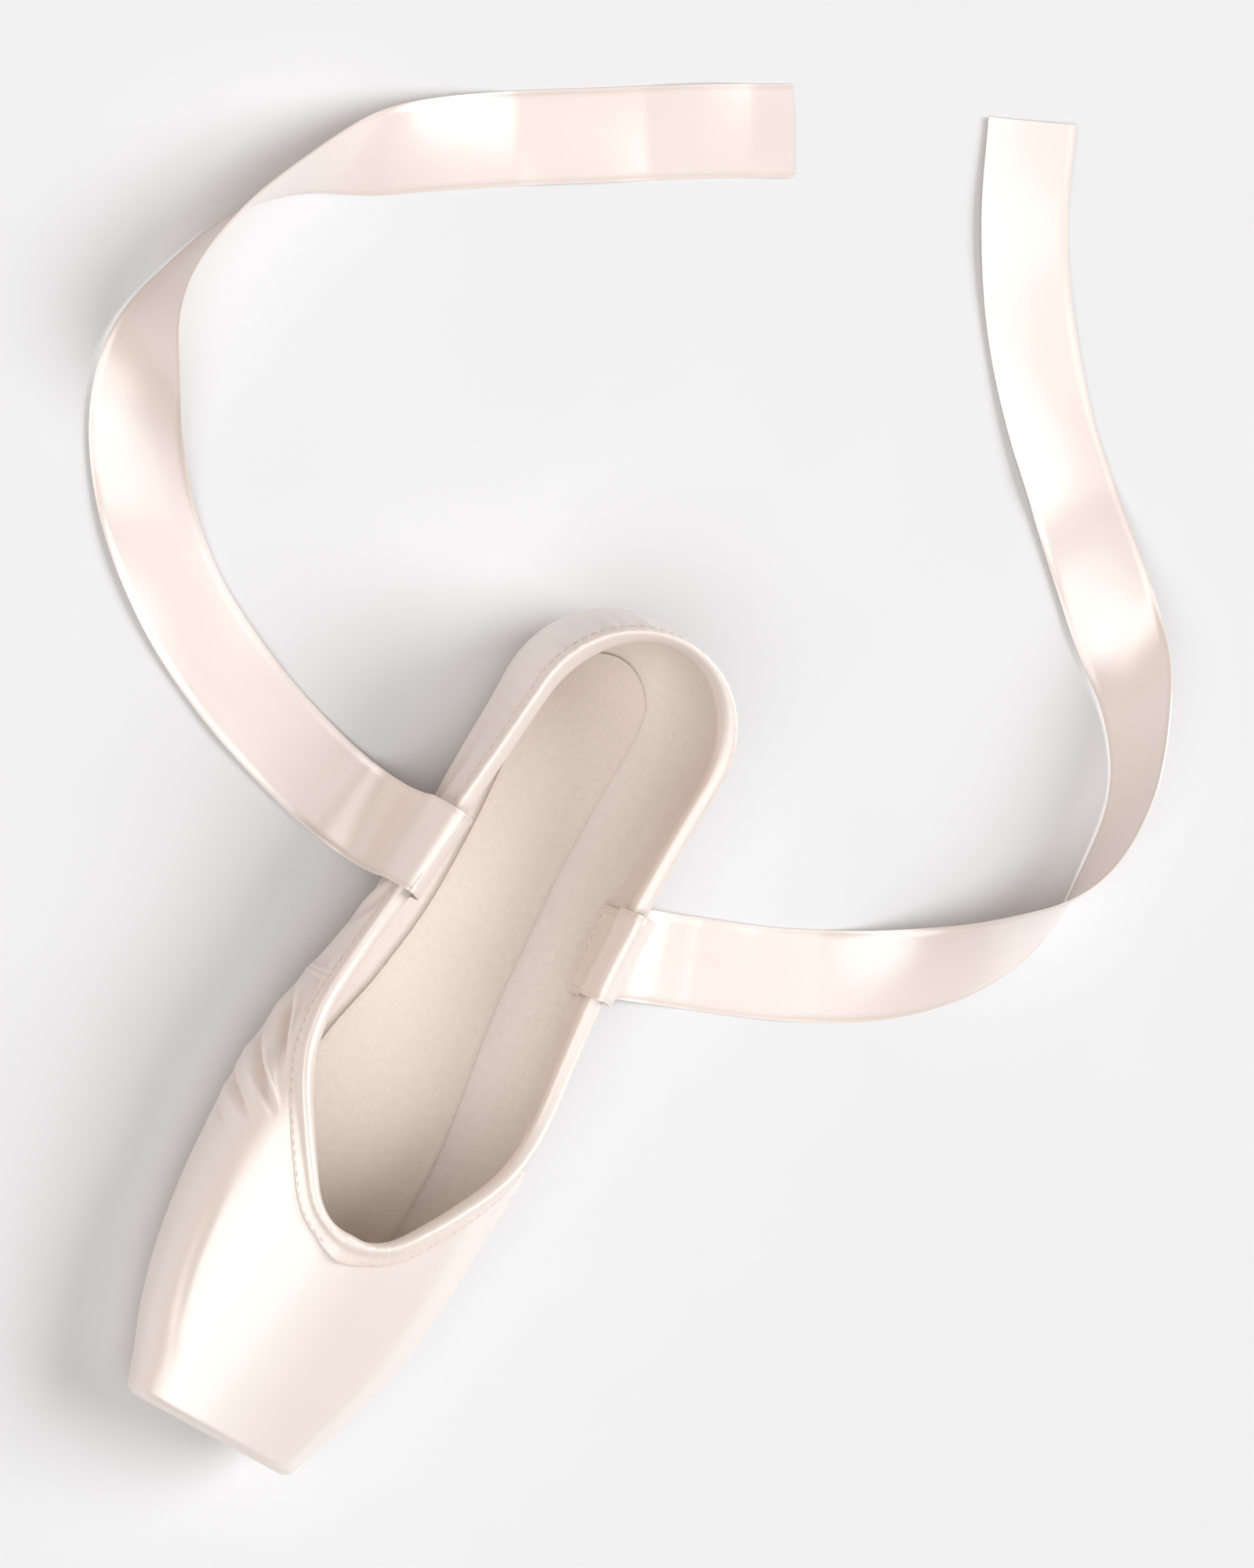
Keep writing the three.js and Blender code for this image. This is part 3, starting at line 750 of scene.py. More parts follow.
def make_satin_weave(name):
    """Long floats of satin: fine threads and streaks that run along the cloth."""
    tree, given, out = new_group(name, {"Cloth": "NodeSocketVector"}, ("Height", "Streak"))
    cloth = given["Cloth"]
    streak = noise(tree, cloth, (2200, 140, 1), 2.0)
    slub = noise(tree, cloth, (300, 26, 1), 1.0)
    thread = maths(tree, "MULTIPLY", bands(tree, cloth, 1500.0, "X", Distortion=0.4), 0.04)
    height = add_part(tree, slub, 0.4, add_part(tree, streak, 0.2, thread))
    tree.links.new(height, out["Height"])
    mixed = add_part(tree, streak, 0.55, maths(tree, "MULTIPLY", slub, 0.45))
    tree.links.new(mixed, out["Streak"])


def make_plain_weave(name):
    """Cotton: threads over and under each other."""
    sockets = {"Cloth": "NodeSocketVector", "Scale": "NodeSocketFloat"}
    tree, given, out = new_group(name, sockets, ("Height", "Fleck"))
    cloth = given["Cloth"]
    threads = [bands(tree, cloth, given["Scale"], way, Distortion=0.8, Detail=1.0) for way in "XY"]
    tree.links.new(maths(tree, "MAXIMUM", *threads), out["Height"])
    tree.links.new(noise(tree, cloth, (500, 500, 500), 3.0), out["Fleck"])


def make_leather_grain(name):
    """Fibrous sole leather: pores, fibres and a mottled tone."""
    tree, given, out = new_group(name, {"Place": "NodeSocketVector"}, ("Height", "Mottle"))
    place = given["Place"]
    pores = add_node(
        tree, "ShaderNodeTexVoronoi", {"Vector": place, "Scale": 1100.0}, feature="SMOOTH_F1")
    fibre = noise(tree, place, (700, 240, 700), 4.0)
    patches = noise(tree, place, (60, 32, 60), 3.0)
    tree.links.new(add_part(tree, pores.outputs["Distance"], 0.5, fibre), out["Height"])
    mottle = add_part(tree, fibre, 0.35, maths(tree, "MULTIPLY", patches, 0.65))
    tree.links.new(mottle, out["Mottle"])


def make_soft_tone(name):
    """Slow change of tone over a piece."""
    tree, given, out = new_group(name, {"Place": "NodeSocketVector"}, ("Tone",))
    clouds = noise(tree, given["Place"], (22, 16, 22), 3.0)
    tree.links.new(map_range(tree, clouds, 0.3, 0.7), out["Tone"])


GROUP_MAKERS = {
    "satin_weave": make_satin_weave,
    "plain_weave": make_plain_weave,
    "leather_grain": make_leather_grain,
    "soft_tone": make_soft_tone,
}


def place_group(tree, name, **inputs):
    """Outputs of a shared effect, which is built the first time that a material asks for it."""
    if name not in bpy.data.node_groups:
        GROUP_MAKERS[name](name)
    effect = bpy.data.node_groups[name]
    return add_node(tree, "ShaderNodeGroup", inputs, node_tree=effect).outputs


def new_material(name, **constants):
    """A material with its node tree, its shader and the coordinates that patterns read."""
    material = bpy.data.materials.new(name)
    material.use_nodes = True
    tree = material.node_tree
    shader = tree.nodes["Principled BSDF"]
    for key, value in constants.items():
        shader.inputs[key.replace("_", " ").title().replace("Ior", "IOR")].default_value = value
    return material, tree, shader, add_node(tree, "ShaderNodeTexCoord").outputs


def coat_surface(tree, shader, colour, roughness, bump=None):
    """Links a material's colour and roughness, and a bump of (height, strength, distance)."""
    tree.links.new(colour, shader.inputs["Base Color"])
    tree.links.new(roughness, shader.inputs["Roughness"])
    if bump:
        inputs = dict(zip(("Height", "Strength", "Distance"), bump))
        node = add_node(tree, "ShaderNodeBump", inputs)
        tree.links.new(node.outputs["Normal"], shader.inputs["Normal"])


# Distances from a ribbon's middle between which its selvedge starts
SELVEDGE_START = (10.5, 10.9)


def add_selvedge(tree, cloth, factor, height):
    """Shade and height of satin with a ribbed selvedge along both edges."""
    across = add_node(tree, "ShaderNodeSeparateXYZ", {0: cloth}).outputs[0]
    middle = maths(tree, "ABSOLUTE", maths(tree, "SUBTRACT", across, RIBBON_WIDTH / 2 * MM))
    start, end = (place * MM for place in SELVEDGE_START)
    edge = map_range(tree, middle, start, end, kind="SMOOTHSTEP")
    rib = maths(tree, "MULTIPLY", edge, bands(tree, cloth, 420.0, "Y"))
    return add_part(tree, edge, 0.22, factor), add_part(tree, rib, 1.5, height)


def satin_material(name, colour, shade, bias=0.0, gloss=0.32, selvedge=False, fold=False):
    """Satin with its threads along the cloth, or turned by the bias angle."""
    material, tree, shader, place = new_material(
        name, ior=1.8, specular_ior_level=1.0, sheen_weight=0.05, sheen_roughness=0.4,
        anisotropic=0.35, coat_weight=0.12, coat_roughness=0.16)
    turned = {"Vector": place["UV"], "Rotation": (0, 0, bias)}
    cloth = add_node(tree, "ShaderNodeMapping", turned).outputs[0]
    weave = place_group(tree, "satin_weave", Cloth=cloth)
    tone = place_group(tree, "soft_tone", Place=place["Object"])["Tone"]
    streak = map_range(tree, weave["Streak"], 0.35, 0.65, 0.0, 0.02)
    factor = add_part(tree, tone, 0.10, streak)
    height = weave["Height"]
    # With fold, the mesh's fold attribute darkens the creases towards the shade colour: painted shade
    if fold:
        factor = maths(tree, "ADD", factor, attribute(tree, "fold"))
    if selvedge:
        factor, height = add_selvedge(tree, place["UV"], factor, height)
    roughness = map_range(tree, weave["Streak"], 0.3, 0.7, gloss - 0.03, gloss + 0.04)
    lit = blend_colours(tree, factor, colour, shade)
    coat_surface(tree, shader, lit, roughness, (height, 0.2, 0.00002))
    return material


def cotton_material(name, colour, scale=420.0):
    """Plain cotton with flecks in its threads."""
    material, tree, shader, place = new_material(name, specular_ior_level=0.25, sheen_weight=0.25)
    weave = place_group(tree, "plain_weave", Cloth=place["UV"], Scale=scale)
    tone = place_group(tree, "soft_tone", Place=place["Object"])["Tone"]
    fleck = map_range(tree, weave["Fleck"], 0.35, 0.7, 0.0, 0.14)
    flecked = blend_colours(tree, add_part(tree, tone, 0.1, fleck), colour, toned(colour, 0.72))
    roughness = map_range(tree, weave["Fleck"], 0.3, 0.7, 0.8, 0.95)
    coat_surface(tree, shader, flecked, roughness, (weave["Height"], 0.25, 0.0002))
    return material


def leather_material(name, colour, edge_colour):
    """Unfinished leather with a darker cut edge."""
    material, tree, shader, place = new_material(name, specular_ior_level=0.35)
    grain = place_group(tree, "leather_grain", Place=place["Object"])
    mottle = map_range(tree, grain["Mottle"], 0.35, 0.65)
    mottled = blend_colours(tree, mottle, colour, toned(colour, 1.16))
    edged = blend_colours(tree, attribute(tree, "rim"), mottled, edge_colour)
    roughness = map_range(tree, grain["Mottle"], 0.3, 0.7, 0.62, 0.8)
    coat_surface(tree, shader, edged, roughness, (grain["Height"], 0.3, 0.00025))
    return material


def thread_material(name, colour):
    """Twisted sewing thread."""
    material, tree, shader, place = new_material(name, specular_ior_level=0.4, sheen_weight=0.2)
    twist = bands(tree, place["Object"], 700.0, "DIAGONAL", Distortion=1.5)
    twisted = blend_colours(tree, twist, toned(colour, 0.78), colour)
    roughness = map_range(tree, twist, 0.0, 1.0, 0.6, 0.48)
    coat_surface(tree, shader, twisted, roughness, (twist, 0.3, 0.0001))
    return material


def floor_material(name, colour):
    """Matt studio floor."""
    material, tree, shader, place = new_material(name, specular_ior_level=0.2)
    tone = place_group(tree, "soft_tone", Place=place["Object"])["Tone"]
    clouded = blend_colours(tree, tone, colour, toned(colour, 0.985))
    coat_surface(tree, shader, clouded, map_range(tree, tone, 0.0, 1.0, 0.7, 0.8))
    return material


def material_for(name, maker, *values, **settings):
    """A material by name, made the first time that a piece asks for it."""
    return bpy.data.materials.get(name) or maker(name, *values, **settings)


# Upper

# Rows along one half of the upper, in front of the throat and behind it, and columns from the sole up
TOE_ROWS = 76
QUARTER_ROWS = 180
FLAT_COLUMNS = 14
LOW_COLUMNS = 20
UP_COLUMNS = 50
SOLE_HOLE_ROUND = 12.0
# Rows that fill the platform, as shares of the way from its middle to its edge
PLATFORM_ROWS = (0.0, 0.3, 0.6, 0.85)
# Flat cloth of the platform starts this far in front of the rest
PLATFORM_CLOTH = 40.0
LINING_FOLLOWS = 0.6
# Painted shade in the satin's creases: share of the darker satin shade per millimetre of a crease's depth,
# and the most of it
FOLD_PAINTED_SHADE = 0.45
DEEPEST_PAINTED_SHADE = 0.7
MIDDLE_WIDTH = 0.05


def upper_rows():
    """Shares and turns of the upper's rows and columns on one side, from the sole's edge up."""
    flat_steps = np.linspace(0, 1, FLAT_COLUMNS, endpoint=False)
    low_steps = np.linspace(0, 1, LOW_COLUMNS, endpoint=False)
    up_steps = np.linspace(0, 1, UP_COLUMNS)
    throat = share_of(THROAT)
    toe = np.linspace(0, throat, TOE_ROWS + 1)
    way = np.linspace(0, 1, QUARTER_ROWS + 1)[1:]
    low = np.concatenate((toe, throat + (1 - throat) * way))
    top_share = np.concatenate((toe, topline_share(way)))
    top_turn = np.concatenate((np.full(len(toe), 3.0), topline_turn(topline_share(way))))
    size = section_at(low, 0.0)
    front, back = OUTSOLE_FRONT + SOLE_LAP, OUTSOLE_BACK - SOLE_LAP
    front_end = round_end(-size["at"], -front - SOLE_HOLE_ROUND, -front)
    back_end = round_end(size["at"], back - SOLE_HOLE_ROUND, back)
    edge = np.maximum(0, 1 - SOLE_LAP / np.maximum(size["flat"], 0.1)) * (front_end * back_end)
    turn = np.concatenate((
        edge[:, None] + (1 - edge[:, None]) * flat_steps,
        np.broadcast_to(1 + low_steps, (len(low), LOW_COLUMNS)),
        2 + (top_turn[:, None] - 2) * up_steps,
    ), axis=1)
    climb = np.concatenate((np.zeros(FLAT_COLUMNS), low_steps / 3, 1 / 3 + up_steps * 2 / 3))
    share = low[:, None] + (top_share - low)[:, None] * smooth(climb, 0, 1)
    return share, turn


def with_platform(points):
    """Rows of one half of the upper, with the platform filled in from its middle to its edge."""
    middle = (points[0, 0] + points[0, -1]) / 2
    inset = np.array(PLATFORM_ROWS)[:, None, None]
    return np.concatenate((middle + (points[0] - middle) * inset, points))


def upper_half(side):
    """One half of the satin, with the places of the lining behind it and painted shade in its creases."""
    share, turn = upper_rows()
    points, normal = skin(side, share, turn)
    height = relief(side, share, turn)
    follow = LINING_FOLLOWS * height * smooth(turn, 1, 2)
    lining = on_last(share, turn, -WALL) * (side, 1, 1) + normal * follow[..., None]
    points, lining = with_platform(points), with_platform(lining)
    filled = len(PLATFORM_ROWS)
    at = section_at(share, 0.0)["at"]
    cloth = np.stack((side * girth(share, turn), way_round_heel(at)), -1)
    platform = points[:filled]
    platform_cloth = np.stack((platform[..., 0], platform[..., 2] - PLATFORM_CLOTH), -1)
    cloth = np.concatenate((platform_cloth, cloth))
    # Painted shade: each point is darkened towards the satin shade by the depth of the crease it lies in,
    # and kept as the fold attribute
    shade = np.pad(np.clip(-height * FOLD_PAINTED_SHADE, 0, DEEPEST_PAINTED_SHADE), ((filled, 0), (0, 0)))
    near_middle = np.abs(points[..., 0]) < MIDDLE_WIDTH
    for wall in (points, lining):
        wall[..., 0] = np.where(near_middle, 0.0, wall[..., 0])
    return grid_piece(f"upper_{side}", points, cloth, {"fold": shade, "lining": lining * MM})


def lay_lining(piece, satin_points):
    """Lays the inner wall, which starts as a copy of the satin, where the lining is."""
    mesh = piece.data
    lining = mesh.attributes["lining"]
    points = read_points(mesh.vertices, "co")
    points[satin_points:] = read_points(lining.data, "vector")[satin_points:]
    mesh.vertices.foreach_set("co", points.ravel())
    mesh.attributes.remove(lining)
    mesh.update()


class SHOE_OT_upper(bpy.types.Operator):
    """Model the hollow satin upper with its cotton lining"""

    bl_idname = "shoe.upper"
    bl_label = "Upper"

    def execute(self, context):
        colours = context.scene.shoe_colours
        piece = sew([upper_half(side) for side in SIDES], "satin_upper")
        # The vamp satin reads the fold attribute as painted shade in its creases
        piece.data.materials.append(material_for(
            "vamp satin", satin_material, colours.satin, colours.satin_shade, fold=True))
        piece.data.materials.append(material_for("cotton lining", cotton_material, colours.lining))
        satin_points = len(piece.data.vertices)
        thicken(piece, WALL, -1.0, material_offset=1, material_offset_rim=1)
        lay_lining(piece, satin_points)
        finish_piece(piece, "satin", "upper")
        return {"FINISHED"}


# Binding

# Profile: distance below the topline and height over the satin, from the lower edge outside over the roll
# of the drawstring to the lower edge inside; the width outside counts as one
BINDING_OUTSIDE = (
    (1.00, 0.25), (1.03, 0.50), (1.00, 0.78), (0.90, 0.90), (0.72, 0.94), (0.52, 1.00), (0.37, 1.15),
    (0.25, 1.48), (0.11, 1.74), (-0.05, 1.68), (-0.18, 1.28), (-0.26, 0.55),
)
BINDING_INSIDE = (
    (-0.29, -0.5), (-0.27, -1.5), (-0.19, -2.3), (0.0, -2.85), (0.25, -3.0), (0.6, -3.0), (0.9, -2.95),
    (1.05, -2.8), (1.06, -2.5), (1.0, -2.3), (0.7, -2.3), (0.3, -2.3), (-0.1, -2.3), (-0.1, 0.3),
    (0.3, 0.3), (0.7, 0.3),
)
# Rows of one half behind its front part and along it, and where that part starts
BINDING_ROWS = 230
FRONT_ROWS = 60
FRONT_PART = 0.12
# Length of one half, how far its end laps over the other at the throat and by how much it rises there
BINDING_RUN = 190.0
BINDING_LAP = 0.012
LAP_RISE = 0.4
MITRE_REACH = 0.05
BINDING_PUCKER = 0.06
# Row of stitches, as a share of the width, its height over the satin, and where it starts at the throat
BINDING_STITCHES = 0.84
BINDING_STITCH_LIFT = 1.0
BINDING_STITCH_START = 0.03


def below_topline(way, below, lift):
    """Point a distance below the topline along the surface, and its normal.

    The way counts from 0 at the throat to 1 at the heel, and is negative on the right side.
    """
    far = np.abs(way)
    side = np.where(way < 0, -1.0, 1.0)
    share = topline_share(far)
    turn = topline_turn(share)
    step = 1e-4
    ahead = np.where(far < 0.5, 1, -1)
    beside = topline_share(far + ahead * step)
    here = on_last(share, turn)
    along = unit((on_last(beside, topline_turn(beside)) - here) * ahead[..., None])
    by_share = (here - on_last(share - step, turn)) / step
    by_turn = (here - on_last(share, turn - step)) / step
    normal = unit(np.cross(by_share, by_turn))
    down = np.cross(along, normal)
    pairs = (
        (by_share, by_share), (by_share, by_turn), (by_turn, by_turn),
        (by_share, down), (by_turn, down))
    ss, st, tt, sd, td = ((a * b).sum(-1) for a, b in pairs)
    scale = below / (ss * tt - st * st)
    point = on_last(share + (sd * tt - td * st) * scale, turn + (td * ss - sd * st) * scale, lift)
    ends = (far < 1e-9) | (far > 1 - 1e-9)
    point[..., 0] = np.where(ends, 0.0, point[..., 0] * side)
    normal[..., 0] *= side
    return point, normal


def binding_strip(side, lap):
    """One half of the binding, from the back seam to the throat and on by its lap."""
    sizes = bpy.context.scene.shoe_sizes
    width = sizes.binding_width / MM
    back = np.linspace(1, FRONT_PART, BINDING_ROWS)
    front = np.linspace(FRONT_PART, -lap, FRONT_ROWS)[1:]
    way = side * np.concatenate((back, front))
    far = np.abs(way)
    run = far * BINDING_RUN
    profile = np.array(BINDING_OUTSIDE + BINDING_INSIDE + BINDING_OUTSIDE[:1])
    out, height = profile.T
    mitre = sizes.binding_mitre / MM * np.maximum(0, 1 - far / MITRE_REACH)
    drop = out * (width + mitre[:, None] * (height > -0.5))
    gathers = smooth(far, 0.45, 0.95) + 0.45 * (1 - smooth(far, 0.05, 0.25))
    ripple = np.sin(run * 1.7 + 0.8 * np.sin(run * 0.4) + side) + 0.6 * np.sin(run * 0.9 + 2 * side)
    pucker = BINDING_PUCKER * ripple * (0.3 + gathers) * (1 - smooth(far, 0.97, 1.0))
    rise = LAP_RISE * (lap > 0) * (1 - smooth(side * way, 0.0, 0.03))
    lift = height + pucker[:, None] * np.clip(height, 0, 2) / 2 + rise[:, None] * (height > 0.2)
    points, _ = below_topline(np.broadcast_to(way[:, None], drop.shape), drop, lift)
    around = lengths_along(profile * (width, 1))
    cloth = np.stack(np.broadcast_arrays(around, run[:, None]), -1)
    return grid_piece(f"binding_{side}", points, cloth)


class SHOE_OT_binding(bpy.types.Operator):
    """Model the satin binding with its rolled edge, lapped at the throat, and its stitches"""

    bl_idname = "shoe.binding"
    bl_label = "Binding"

    def execute(self, context):
        colours = context.scene.shoe_colours
        strips = [binding_strip(-1, BINDING_LAP), binding_strip(1, 0.0)]
        piece = sew(strips, "binding_roll", merge=0.01)
        mend(piece, (bpy.ops.mesh.fill_holes, {"sides": 0}))
        satin = material_for(
            "binding satin", satin_material, colours.binding, colours.satin_shade,
            bias=math.radians(45), gloss=0.4)
        finish_piece(piece, "binding_satin", "binding", material=satin)
        below = BINDING_STITCHES * context.scene.shoe_sizes.binding_width / MM
        way = np.linspace(BINDING_STITCH_START, 1, 260)
        lines = [below_topline(side * way, below, BINDING_STITCH_LIFT) for side in SIDES]
        stitch_rows("binding_stitches", "binding_satin", lines, radius=0.16)
        return {"FINISHED"}


# Seams

# Cross section of a seam: distance from its line and height over the satin
SEAM_PROFILE = np.array((
    (-2.4, -0.40), (-1.8, -0.16), (-1.3, -0.02), (-0.9, 0.05), (-0.5, 0.07), (-0.22, 0.0), (0.0, -0.22),
    (0.22, 0.0), (0.5, 0.07), (0.9, 0.05), (1.3, -0.02), (1.8, -0.16), (2.4, -0.40),
))
SEAM_THICKNESS = 0.3
SIDE_SEAM_AT = 116.0
SIDE_SEAM_ROWS = 60
BACK_SEAM_ROWS = 90
# Turns round the section where a seam starts, counted from the topline, and where it ends at the sole
SEAM_TOP = -0.03
SEAM_FOOT = 1.02
SEAM_UNDER_SOLE = 2.0
# Stitches of a side seam: distance behind its line, height over the satin, and rows that they run along
SEAM_STITCHES_BEHIND = 1.6
SEAM_STITCH_LIFT = 0.05
SEAM_STITCH_ROWS = slice(8, 58)


def side_seam(side):
    """Seam between vamp and quarter, from under the binding to the sole, and the line of its stitches."""
    offset, height = SEAM_PROFILE.T
    share = share_of(SIDE_SEAM_AT + offset)[None, :]
    down = np.linspace(0, 1, SIDE_SEAM_ROWS)[:, None]
    top = topline_turn(share) + SEAM_TOP
    turn = top + (SEAM_FOOT - top) * down
    points, _ = skin(side, share, turn, height)
    cloth = np.stack(np.broadcast_arrays(offset, girth(share, turn)), -1)
    line_turn = turn[SEAM_STITCH_ROWS, len(offset) // 2]
    line_share = np.full(len(line_turn), share_of(SIDE_SEAM_AT + SEAM_STITCHES_BEHIND))
    line = skin(side, line_share, line_turn, SEAM_STITCH_LIFT)
    return grid_piece(f"seam_{side}", points, cloth), line


def heel_line(count):
    """Middle line of the satin from the outsole up the heel to the binding, its normals and lengths."""
    under = share_of(np.linspace(OUTSOLE_BACK - SEAM_UNDER_SOLE, LENGTH, 60)[:-1])
    up_to = float(topline_turn(np.array(1.0))) + SEAM_TOP
    line = np.concatenate((
        skin(1, under, np.zeros(len(under)))[0],
        skin(1, np.ones(80), np.linspace(2, up_to, 80))[0],
    ))
    run = lengths_along(line[:, 1:])
    even = np.linspace(0, run[-1], count)
    line = np.stack((0 * even, *(np.interp(even, run, line[:, axis]) for axis in (1, 2))), -1)
    tangent = unit(np.gradient(line, axis=0))
    return line, np.cross((-1.0, 0.0, 0.0), tangent), even


def back_seam():
    """Seam up the middle of the heel, from under the outsole's end to the binding."""
    line, normal, run = heel_line(BACK_SEAM_ROWS)
    offset, height = SEAM_PROFILE.T
    fall = offset ** 2 / (2 * HEEL_ROUND)
    points = line[:, None] + normal[:, None] * (height - fall)[None, :, None]
    points[..., 0] = offset
    cloth = np.stack(np.broadcast_arrays(offset, run[:, None]), -1)
    return grid_piece("back", points, cloth)


class SHOE_OT_seams(bpy.types.Operator):
    """Model the side seams and the back seam with their stitches"""

    bl_idname = "shoe.seams"
    bl_label = "Seams"

    def execute(self, context):
        right, left = (side_seam(side) for side in SIDES)
        sheets = {"seam_right": right[0], "seam_left": left[0], "seam_back": back_seam()}
        for name, sheet in sheets.items():
            piece = sew([sheet], name)
            thicken(piece, SEAM_THICKNESS, 0.0)
            finish_piece(piece, "satin", material=bpy.data.materials["vamp satin"])
        stitch_rows("seam_stitches", "satin", (right[1], left[1]), radius=0.14, length=1.5, spacing=2.3)
        return {"FINISHED"}


# Outsole and insole

# Distances inside a plate's edge of the lines of points that run round it
PLATE_INSETS = np.array((0, 0.25, 0.6, 1.0, 1.4, 1.7, 1.95, 2.2, 2.45, 2.7, 3.1, 4.0, 5.5, 8.0))
NARROWEST_PLATE = 0.02
# Groove inside the outsole's edge, rounding of the plates' edges, and thickness of the insole's cloth
GROOVE_INSET = 2.2
GROOVE_WIDTH = 0.4
GROOVE_DEPTH = 0.35
OUTSOLE_EDGE = 0.55
OUTSOLE_EDGE_WIDTH = 1.3
INSOLE_EDGE = 0.35
INSOLE_EDGE_WIDTH = 1.6
INSOLE_CLOTH = 1.1


def plate_half(side, ends, rounds, half_at, count):
    """One half of a plate with rounded ends, and how far each of its points lies inside the edge."""
    front, back = ends
    at = front + (back - front) * (1 - np.cos(np.pi * np.linspace(0, 1, count + 1))) / 2
    closed = round_end(-at, -front - rounds[0], -front) * round_end(at, back - rounds[1], back)
    half = np.maximum(half_at(at) * closed, NARROWEST_PLATE)
    edge = np.stack((side * half, at), -1)
    middle = np.stack((0 * at, np.clip(at, front + rounds[0], back - rounds[1])), -1)
    inward = middle - edge
    depth = np.linalg.norm(inward, axis=1)[:, None]
    part = np.concatenate((PLATE_INSETS / depth, np.ones((len(at), 1))), axis=1)
    return edge[:, None] + inward[:, None] * part[..., None], part * depth


def plate_sheet(name, way, face_at, *shape):
    """Outer face of a plate, sewn from two halves, that looks up for a way of 1 and down for -1."""
    halves = []
    for side in SIDES:
        places, inset = plate_half(side, *shape)
        height, values = face_at(places[..., 1], inset)
        points = np.stack((places[..., 0], places[..., 1] - LENGTH / 2, height), -1)
        halves.append(grid_piece(f"{name}_{side}", points, points[..., :2], values))
    piece = sew(halves, name)
    if way * sum(face.normal.z for face in piece.data.polygons) < 0:
        piece.data.flip_normals()
    return piece


def outsole_half(at):
    """Half the outsole's width."""
    return LAST["flat"](at) - OUTSOLE_REVEAL


def outsole_face(at, inset):
    """Height of the outsole's lower face, with its groove and rounded edge, and how dark it is at its cut
    edge and along its groove.
    """
    groove = bell(inset, GROOVE_INSET, GROOVE_WIDTH)
    low = LAST["bottom"](at) - GAP - OUTSOLE_THICKNESS
    rounding = OUTSOLE_EDGE * fade(inset / OUTSOLE_EDGE_WIDTH)
    # Darkest at the cut edge, and partly darker along the groove
    rim = np.clip(1.2 - inset / 0.8, 0, 1) + 0.55 * groove
    return low + GROOVE_DEPTH * groove + rounding, {"rim": np.clip(rim, 0, 1)}


def insole_half(at):
    """Half the insole's width, closed round the heel."""
    heel = LENGTH - WALL
    return (LAST["flat"](at) - WALL) * round_end(at, heel - HEEL_ROUND, heel)


def insole_face(at, inset):
    """Height of the insole's upper face, with its rounded edge."""
    top = bottom_at(at, -WALL - GAP) + INSOLE_THICKNESS
    return top - INSOLE_EDGE * fade(inset / INSOLE_EDGE_WIDTH), None


class SHOE_OT_outsole(bpy.types.Operator):
    """Model the leather outsole with its grooved edge"""

    bl_idname = "shoe.outsole"
    bl_label = "Outsole"

    def execute(self, context):
        colours = context.scene.shoe_colours
        ends = (OUTSOLE_FRONT, OUTSOLE_BACK)
        rounds = (OUTSOLE_FRONT_ROUND, OUTSOLE_BACK_ROUND)
        piece = plate_sheet("leather_outsole", -1, outsole_face, ends, rounds, outsole_half, 150)
        thicken(piece, OUTSOLE_THICKNESS, -1.0)
        leather = material_for("sole leather", leather_material, colours.leather, colours.leather_edge)
        finish_piece(piece, "sole_leather", "outsole", material=leather, angle=45)
        return {"FINISHED"}


class SHOE_OT_insole(bpy.types.Operator):
    """Model the cloth insole"""

    bl_idname = "shoe.insole"
    bl_label = "Insole"

    def execute(self, context):
        ends = (INSOLE_FRONT, INSOLE_BACK)
        rounds = (INSOLE_ROUND, INSOLE_ROUND)
        piece = plate_sheet("cloth_insole", 1, insole_face, ends, rounds, insole_half, 120)
        thicken(piece, INSOLE_CLOTH, -1.0)
        cloth = material_for("insole cloth", cotton_material, context.scene.shoe_colours.insole)
        finish_piece(piece, "insole_cloth", "insole", material=cloth, angle=45)
        return {"FINISHED"}


# Ribbons

RIBBON_STEPS = 420
# Places across a ribbon as shares of half its width, close together at the selvedges
RIBBON_ACROSS = np.concatenate((
    (-1, -0.97, -0.93, -0.9), np.linspace(-0.8, 0.8, 9), (0.9, 0.93, 0.97, 1)))
SELVEDGE_INSIDE = 0.91
SELVEDGE_RISE = 0.12
# Least heights over the floor of the middle line's lower edge and of the cloth itself
ROUTE_CLEAR = 0.6
CLOTH_CLEAR = 0.35
# Lengths between which a ribbon comes to lie loose, and its edges' curl there
RIBBON_LOOSE = (75, 120)
RIBBON_CURL = 0.5
# Box of stitches that holds a ribbon: lengths where it starts and ends, inset from the edges and lift
SEWN_PART = (1.5, 13)
SEWN_INSET = 1.8
SEWN_LIFT = 0.3


def spline(points, where, even):
    """Catmull-Rom curve through points, even or else centripetal, at places counted in points."""
    padded = np.concatenate(([2 * points[0] - points[1]], points, [2 * points[-1] - points[-2]]))
    i = np.clip(where.astype(int), 0, len(points) - 2)
    t = (where - i)[:, None]
    before, start, end, after = (padded[i + k] for k in range(4))
    first, middle, last = (
        1.0 if even else np.sqrt(np.linalg.norm(b - a, axis=1))[:, None]
        for a, b in ((before, start), (start, end), (end, after)))
    leave = (start - before) / first - (end - before) / (first + middle) + (end - start) / middle
    reach = (end - start) / middle - (after - start) / (middle + last) + (after - end) / last
    return (
        (2 * t ** 3 - 3 * t ** 2 + 1) * start + (t ** 3 - 2 * t ** 2 + t) * leave * middle
        + (3 * t ** 2 - 2 * t ** 3) * end + (t ** 3 - t ** 2) * reach * middle)


